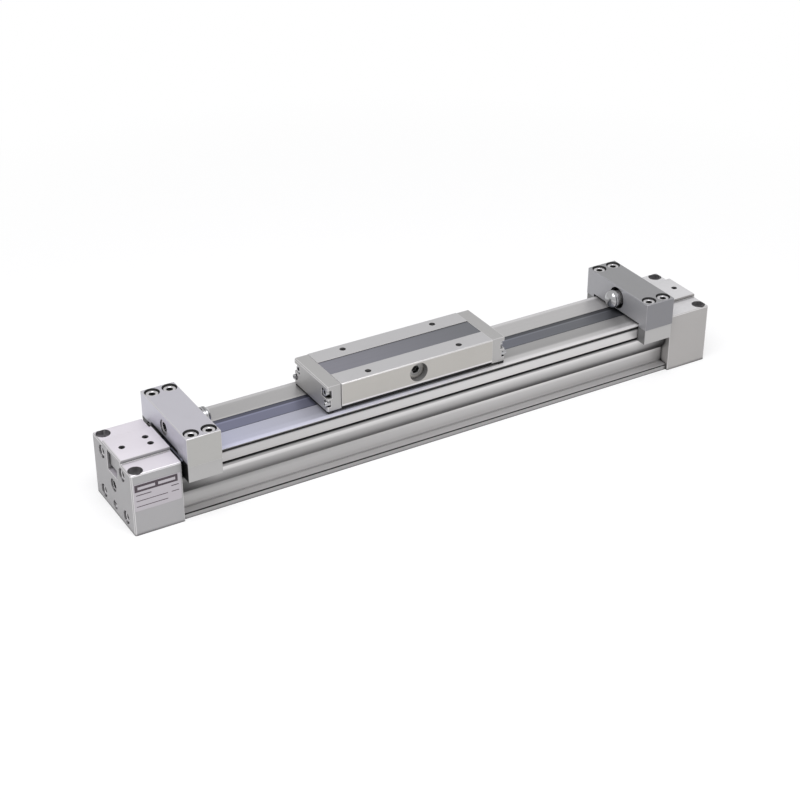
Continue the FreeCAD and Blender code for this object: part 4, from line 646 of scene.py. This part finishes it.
def make_screws():
    """Cap screws: four in each holder, four in each head cover, and two kinds in the carriage's ends."""
    for end, side in ENDS:
        places = [at(side * x, y, HOLDER_SCREW_SEAT) for x in HOLDER_SCREW_X
                  for y in (HOLDER_SCREW_Y, -HOLDER_SCREW_Y)]
        heads = scatter(socket_head(*FIXED_SCREW, 22.5, True), places)
        attach(finish_mesh(heads, "holder_cap_screws_" + end, ZINC, SOCKET), "cylinder", "zinc_steel",
               "holder_screws_" + end)
    places = [at(side * TIE_SEAT, y, z, "X" if side > 0 else "-X") for side in (1, -1) for y, z in TIE_PLACES]
    heads = scatter(socket_head(*FIXED_SCREW, 41.0, True), places)
    attach(finish_mesh(heads, "cover_cap_bolts", ZINC, SOCKET), "cylinder", "zinc_steel", "cover_bolts")
    kinds = (("end_cover_cap_bolts", "end_cover_bolts", 3.5, 17.6, 54.2, END_SCREW, 15.7),
             ("wiper_cap_screws", "wiper_screws", 2.6, 20.4, 47.6, WIPER_SCREW, 3.0))
    for name, node, depth, y, z, head, length in kinds:
        places = [at(CARRIAGE_X + way * (END_FACE - depth), side * y, z, "X" if way > 0 else "-X")
                  for way in (1, -1) for side in (1, -1)]
        heads = scatter(socket_head(*head, length), places)
        attach(finish_mesh(heads, name, BRIGHT, SOCKET), "carriage", "bright_steel", node)


def make_threads():
    """Thread crests in the holes that stay open: four in the table and the two air ports."""
    hole_x, hole_y = 34.1, 16.7
    places = [at(CARRIAGE_X + x * hole_x, y * hole_y, TABLE_TOP) for x in (1, -1) for y in (1, -1)]
    crests = scatter(make_thread(radius=2.095, depth=0.14, pitch=0.8, length=9.0), places)
    attach(finish_mesh(crests, "work_hole_threads", HOLE), "carriage", "anodised_aluminium")
    places = [at(side * PORT_X, COVER_BACK, BORE_HEIGHT, "Y") for side in (1, -1)]
    crests = scatter(make_thread(radius=4.29, depth=0.25, pitch=0.907, length=8.6), places)
    attach(finish_mesh(crests, "air_port_threads", CASTING), "cylinder", "anodised_aluminium")


def make_bumpers():
    """A polished dome with a collar, on the stop bolt's inner end."""
    base, radius, curve = 6.5, 6.1, 7.2
    widths = [radius * math.sin(math.pi / 2 * i / 12) for i in range(13)]
    dome = [(r, curve - math.sqrt(curve ** 2 - r ** 2)) for r in widths]
    shoulder = dome[-1][1]
    neck = radius - 0.35
    profile = dome + [(radius, shoulder + 0.9), (neck, shoulder + 1.2), (neck, shoulder + 1.6),
                      (radius, shoulder + 1.9), (radius, base - 0.3), (radius - 0.3, base), (0, base)]
    for end, side in ENDS:
        bm = scatter(lathe(profile, 64), [at(side * BUMPER_TIP, 0, STOP_HEIGHT, "X" if side > 0 else "-X")])
        attach(finish_mesh(bm, "stop_bumper_" + end, BRIGHT), "stop_" + end, "bright_steel", "bumper_" + end)


def flat_bar(bm, low_x, high_x, low_z, high_z, thick, corner=0.0):
    """A thin plate on the left head cover's front, from its corners in millimetres."""
    plate = bmesh.ops.create_cube(bm, size=1)["verts"]
    bmesh.ops.scale(bm, vec=Vector((high_x - low_x, thick, high_z - low_z)) * MM, verts=plate)
    centre = Vector(((low_x + high_x) / 2, COVER_FRONT - thick / 2, (low_z + high_z) / 2)) * MM
    bmesh.ops.translate(bm, verts=plate, vec=centre)
    if corner:
        upright = [e for e in bm.edges if abs(e.verts[0].co.y - e.verts[1].co.y) > thick * MM / 2]
        bmesh.ops.bevel(bm, geom=upright, offset=corner * MM, segments=5, profile=0.5, affect="EDGES",
                        material=-1)


def make_label():
    """A film label without any words: a bare ground with an empty ruled form."""
    bm = bmesh.new()
    flat_bar(bm, -218.0, -187.0, 17.5, 36.5, 0.12, 1.0)
    attach(finish_mesh(bm, "blank_label", LABEL), "cylinder", "white_resin")
    bm = bmesh.new()
    for bar in LABEL_LINES:
        flat_bar(bm, *bar, 0.15)
    attach(finish_mesh(bm, "blank_label_lines", INK), "cylinder", "white_resin")


# Finishes of the CAD nodes: body, slot, paint, paint of the rounded edges (a painted highlight on most),
# width of the edges, paint of the holes' walls (painted shade), and nodes. A node without a width keeps its
# own mesh.
FINISHES = [
    ("cylinder", "anodised_aluminium", TUBE, TUBE, 0.12, None, ["cylinder_tube"]),
    ("cylinder", "anodised_aluminium", CASTING, EDGE_LIGHT, 0.25, DRILLED, ["head_cover_left"]),
    ("cylinder", "anodised_aluminium", CASTING_RIGHT, EDGE_LIGHT, 0.25, DRILLED, ["head_cover_right"]),
    ("cylinder", "anodised_aluminium", HOLDER_LIGHT, EDGE_LIGHT, 0.12, HOLE, ["stop_holder_left"]),
    ("cylinder", "anodised_aluminium", HOLDER_DARK, EDGE_DARK, 0.12, HOLE, ["stop_holder_right"]),
    ("cylinder", "anodised_aluminium", CLAMP_LIGHT, CLAMP_LIGHT, 0.15, HOLE,
     ["holder_clamps_left", "holder_clamps_right"]),
    ("cylinder", "anodised_aluminium", CASTING, CASTING, 0, None, ["belt_clamp_blocks", "band_clamp_plates"]),
    ("cylinder", "zinc_steel", CASTING, CASTING, 0.15, SOCKET, ["port_plugs"]),
    ("cylinder", "zinc_steel", ZINC, ZINC, 0.1, SOCKET, ["stop_lock_screws"]),
    ("cylinder", "black_steel", BLACK_STEEL, BLACK_STEEL, 0.1, SOCKET, ["clamp_set_screws"]),
    ("cylinder", "black_rubber", RUBBER, RUBBER, 0, None, ["tube_gaskets"]),
    ("cylinder", "white_resin", RESIN, RESIN, 0, None, ["cushion_rings"]),
    ("cylinder", "magnet", MAGNET, MAGNET, 0, None, ["seal_magnets"]),
    ("stop_left", "bright_steel", ZINC, ZINC, 0.2, SOCKET, ["stop_bolt_left"]),
    ("stop_right", "bright_steel", ZINC, ZINC, 0.2, SOCKET, ["stop_bolt_right"]),
    ("needle_left", "zinc_steel", ZINC, ZINC, 0.1, SOCKET, ["cushion_needle_left"]),
    ("needle_right", "zinc_steel", ZINC, ZINC, 0.1, SOCKET, ["cushion_needle_right"]),
    ("carriage", "anodised_aluminium", MACHINED, EDGE_LIGHT, 0.2, BORE, ["slide_table"]),
    ("carriage", "anodised_aluminium", END_COVER, EDGE_LIGHT, 0.2, HOLE,
     ["end_cover_left", "end_cover_right"]),
    ("carriage", "anodised_aluminium", MACHINED, MACHINED, 0, None, ["piston_yoke", "pistons"]),
    ("carriage", "stainless_band", COVER_STEEL, COVER_STEEL, 0.1, None, ["top_cover"]),
    ("carriage", "black_steel", PLUG_STEEL, PLUG_STEEL, 0.12, SOCKET, ["side_plug"]),
    ("carriage", "black_steel", BLACK_STEEL, BLACK_STEEL, 0, None, ["piston_pins"]),
    ("carriage", "zinc_steel", ZINC, ZINC, 0.1, SOCKET, ["yoke_bolts"]),
    ("carriage", "black_rubber", RUBBER, RUBBER, 0.1, None, ["side_scrapers", "end_scrapers"]),
    ("carriage", "black_rubber", RUBBER, RUBBER, 0, None, ["piston_seals", "cushion_seals"]),
    ("carriage", "white_resin", RESIN, RESIN, 0.1, None, ["slide_bearings", "belt_separators"]),
    ("carriage", "white_resin", RESIN, RESIN, 0, None, ["wear_rings"]),
    ("carriage", "bright_steel", BRIGHT, BRIGHT, 0, None, ["roller_pins"]),
    ("carriage", "magnet", MAGNET, MAGNET, 0, None, ["sensor_magnets"]),
    ("roller_left", "white_resin", RESIN, RESIN, 0.2, None, ["guide_roller_left"]),
    ("roller_right", "white_resin", RESIN, RESIN, 0.2, None, ["guide_roller_right"]),
]


def finish_nodes():
    for body, slot, paint, edge, width, shade, nodes in FINISHES:
        for node in nodes:
            if width:
                refine(node, body, slot, paint, edge, width, shade)
            else:
                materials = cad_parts[node].data.materials
                materials.clear()
                materials.append(paint)


# Studio


def seen_directly(nodes):
    """1 where the camera, a mirror or glass looks at the surface, and 0 where it only gives light."""
    camera, mirror, glass = (nodes.node("ShaderNodeLightPath", out=way)
                             for way in ("Is Camera Ray", "Is Glossy Ray", "Is Transmission Ray"))
    return camera.larger(mirror).larger(glass)


def whiten(nodes, share, shader, output, kind):
    """Feeds an output with the shader, apart from a share of plain white from a node of the given kind."""
    white = nodes.node(kind, None, {"Strength": 1.0})
    blend = nodes.node("ShaderNodeMixShader", None, {0: share, 1: shader, 2: white})
    nodes.feed(nodes.tree.nodes[output].inputs["Surface"], blend)


def set_world():
    world = bpy.data.worlds.new("studio_world")
    bpy.context.scene.world = world
    nodes = Nodes(world)
    fill = nodes.tree.nodes["Background"]
    fill.inputs["Color"].default_value = (0.99, 0.99, 1.0, 1.0)
    fill.inputs["Strength"].default_value = 0.52
    whiten(nodes, seen_directly(nodes), Wire(nodes, fill.outputs[0]), "World Output", "ShaderNodeBackground")


def make_floor():
    """A pale floor that keeps the object's shadow and turns to plain white further away.

    It lies a hair under the object, whose base would otherwise share its plane."""
    drop = 0.05
    half_size = 6
    paint = Paint("pale_floor", (0.95, 0.95, 0.945), 0.6)
    speck = paint.noise(40, detail=2.0)
    paint.put("Base Color", paint.shade(speck, 0.01))
    away = paint.node("ShaderNodeVectorMath", {"operation": "LENGTH"}, {0: paint.place}, "Value")
    near_share = 0.55
    white = away.within(0.24, 0.62) * (1 - near_share) + near_share
    share = white * seen_directly(paint)
    whiten(paint, share, Wire(paint, paint.shader.outputs[0]), "Material Output", "ShaderNodeEmission")
    bm = bmesh.new()
    bmesh.ops.create_grid(bm, x_segments=1, y_segments=1, size=half_size,
                          matrix=Matrix.Translation((0, 0, -drop * MM)))
    finish_mesh(bm, "studio_floor", paint.material)


def add_lamp(name, place, target, size, power, colour):
    lamp = bpy.data.lights.new(name, "AREA")
    lamp.shape = "RECTANGLE"
    lamp.size, lamp.size_y = size
    lamp.energy = power
    lamp.color = colour
    made = bpy.data.objects.new(name, lamp)
    made.location = place
    made.rotation_euler = (Vector(target) - Vector(place)).to_track_quat("-Z", "Y").to_euler()
    bpy.context.scene.collection.objects.link(made)


def set_studio():
    set_world()
    make_floor()
    add_lamp("overhead_softbox", (-0.25, -0.45, 1.25), (0, 0, 0), (1.6, 0.9), 18, (0.975, 0.97, 1.0))
    add_lamp("front_softbox", (-0.2, -1.5, 0.55), (0, 0, 0.02), (1.4, 0.6), 0.8, (1.0, 0.975, 0.93))


def set_camera():
    lens = bpy.data.cameras.new("photo_camera")
    lens.sensor_width = SENSOR
    lens.lens = FOCAL_PIXELS / PHOTO_WIDTH * SENSOR
    lens.clip_start = 0.01
    camera = bpy.data.objects.new("photo_camera", lens)
    level = math.cos(CAMERA_PITCH)
    look = Vector((math.sin(CAMERA_YAW) * level, math.cos(CAMERA_YAW) * level, -math.sin(CAMERA_PITCH)))
    camera.location = CAMERA_PLACE
    camera.rotation_euler = look.to_track_quat("-Z", "Y").to_euler()
    bpy.context.scene.collection.objects.link(camera)
    bpy.context.scene.camera = camera
    bpy.context.scene.view_settings.view_transform = "Standard"


finish_nodes()
make_belts()
make_screws()
make_threads()
make_bumpers()
make_label()
set_studio()
set_camera()

bpy.context.view_layer.update()
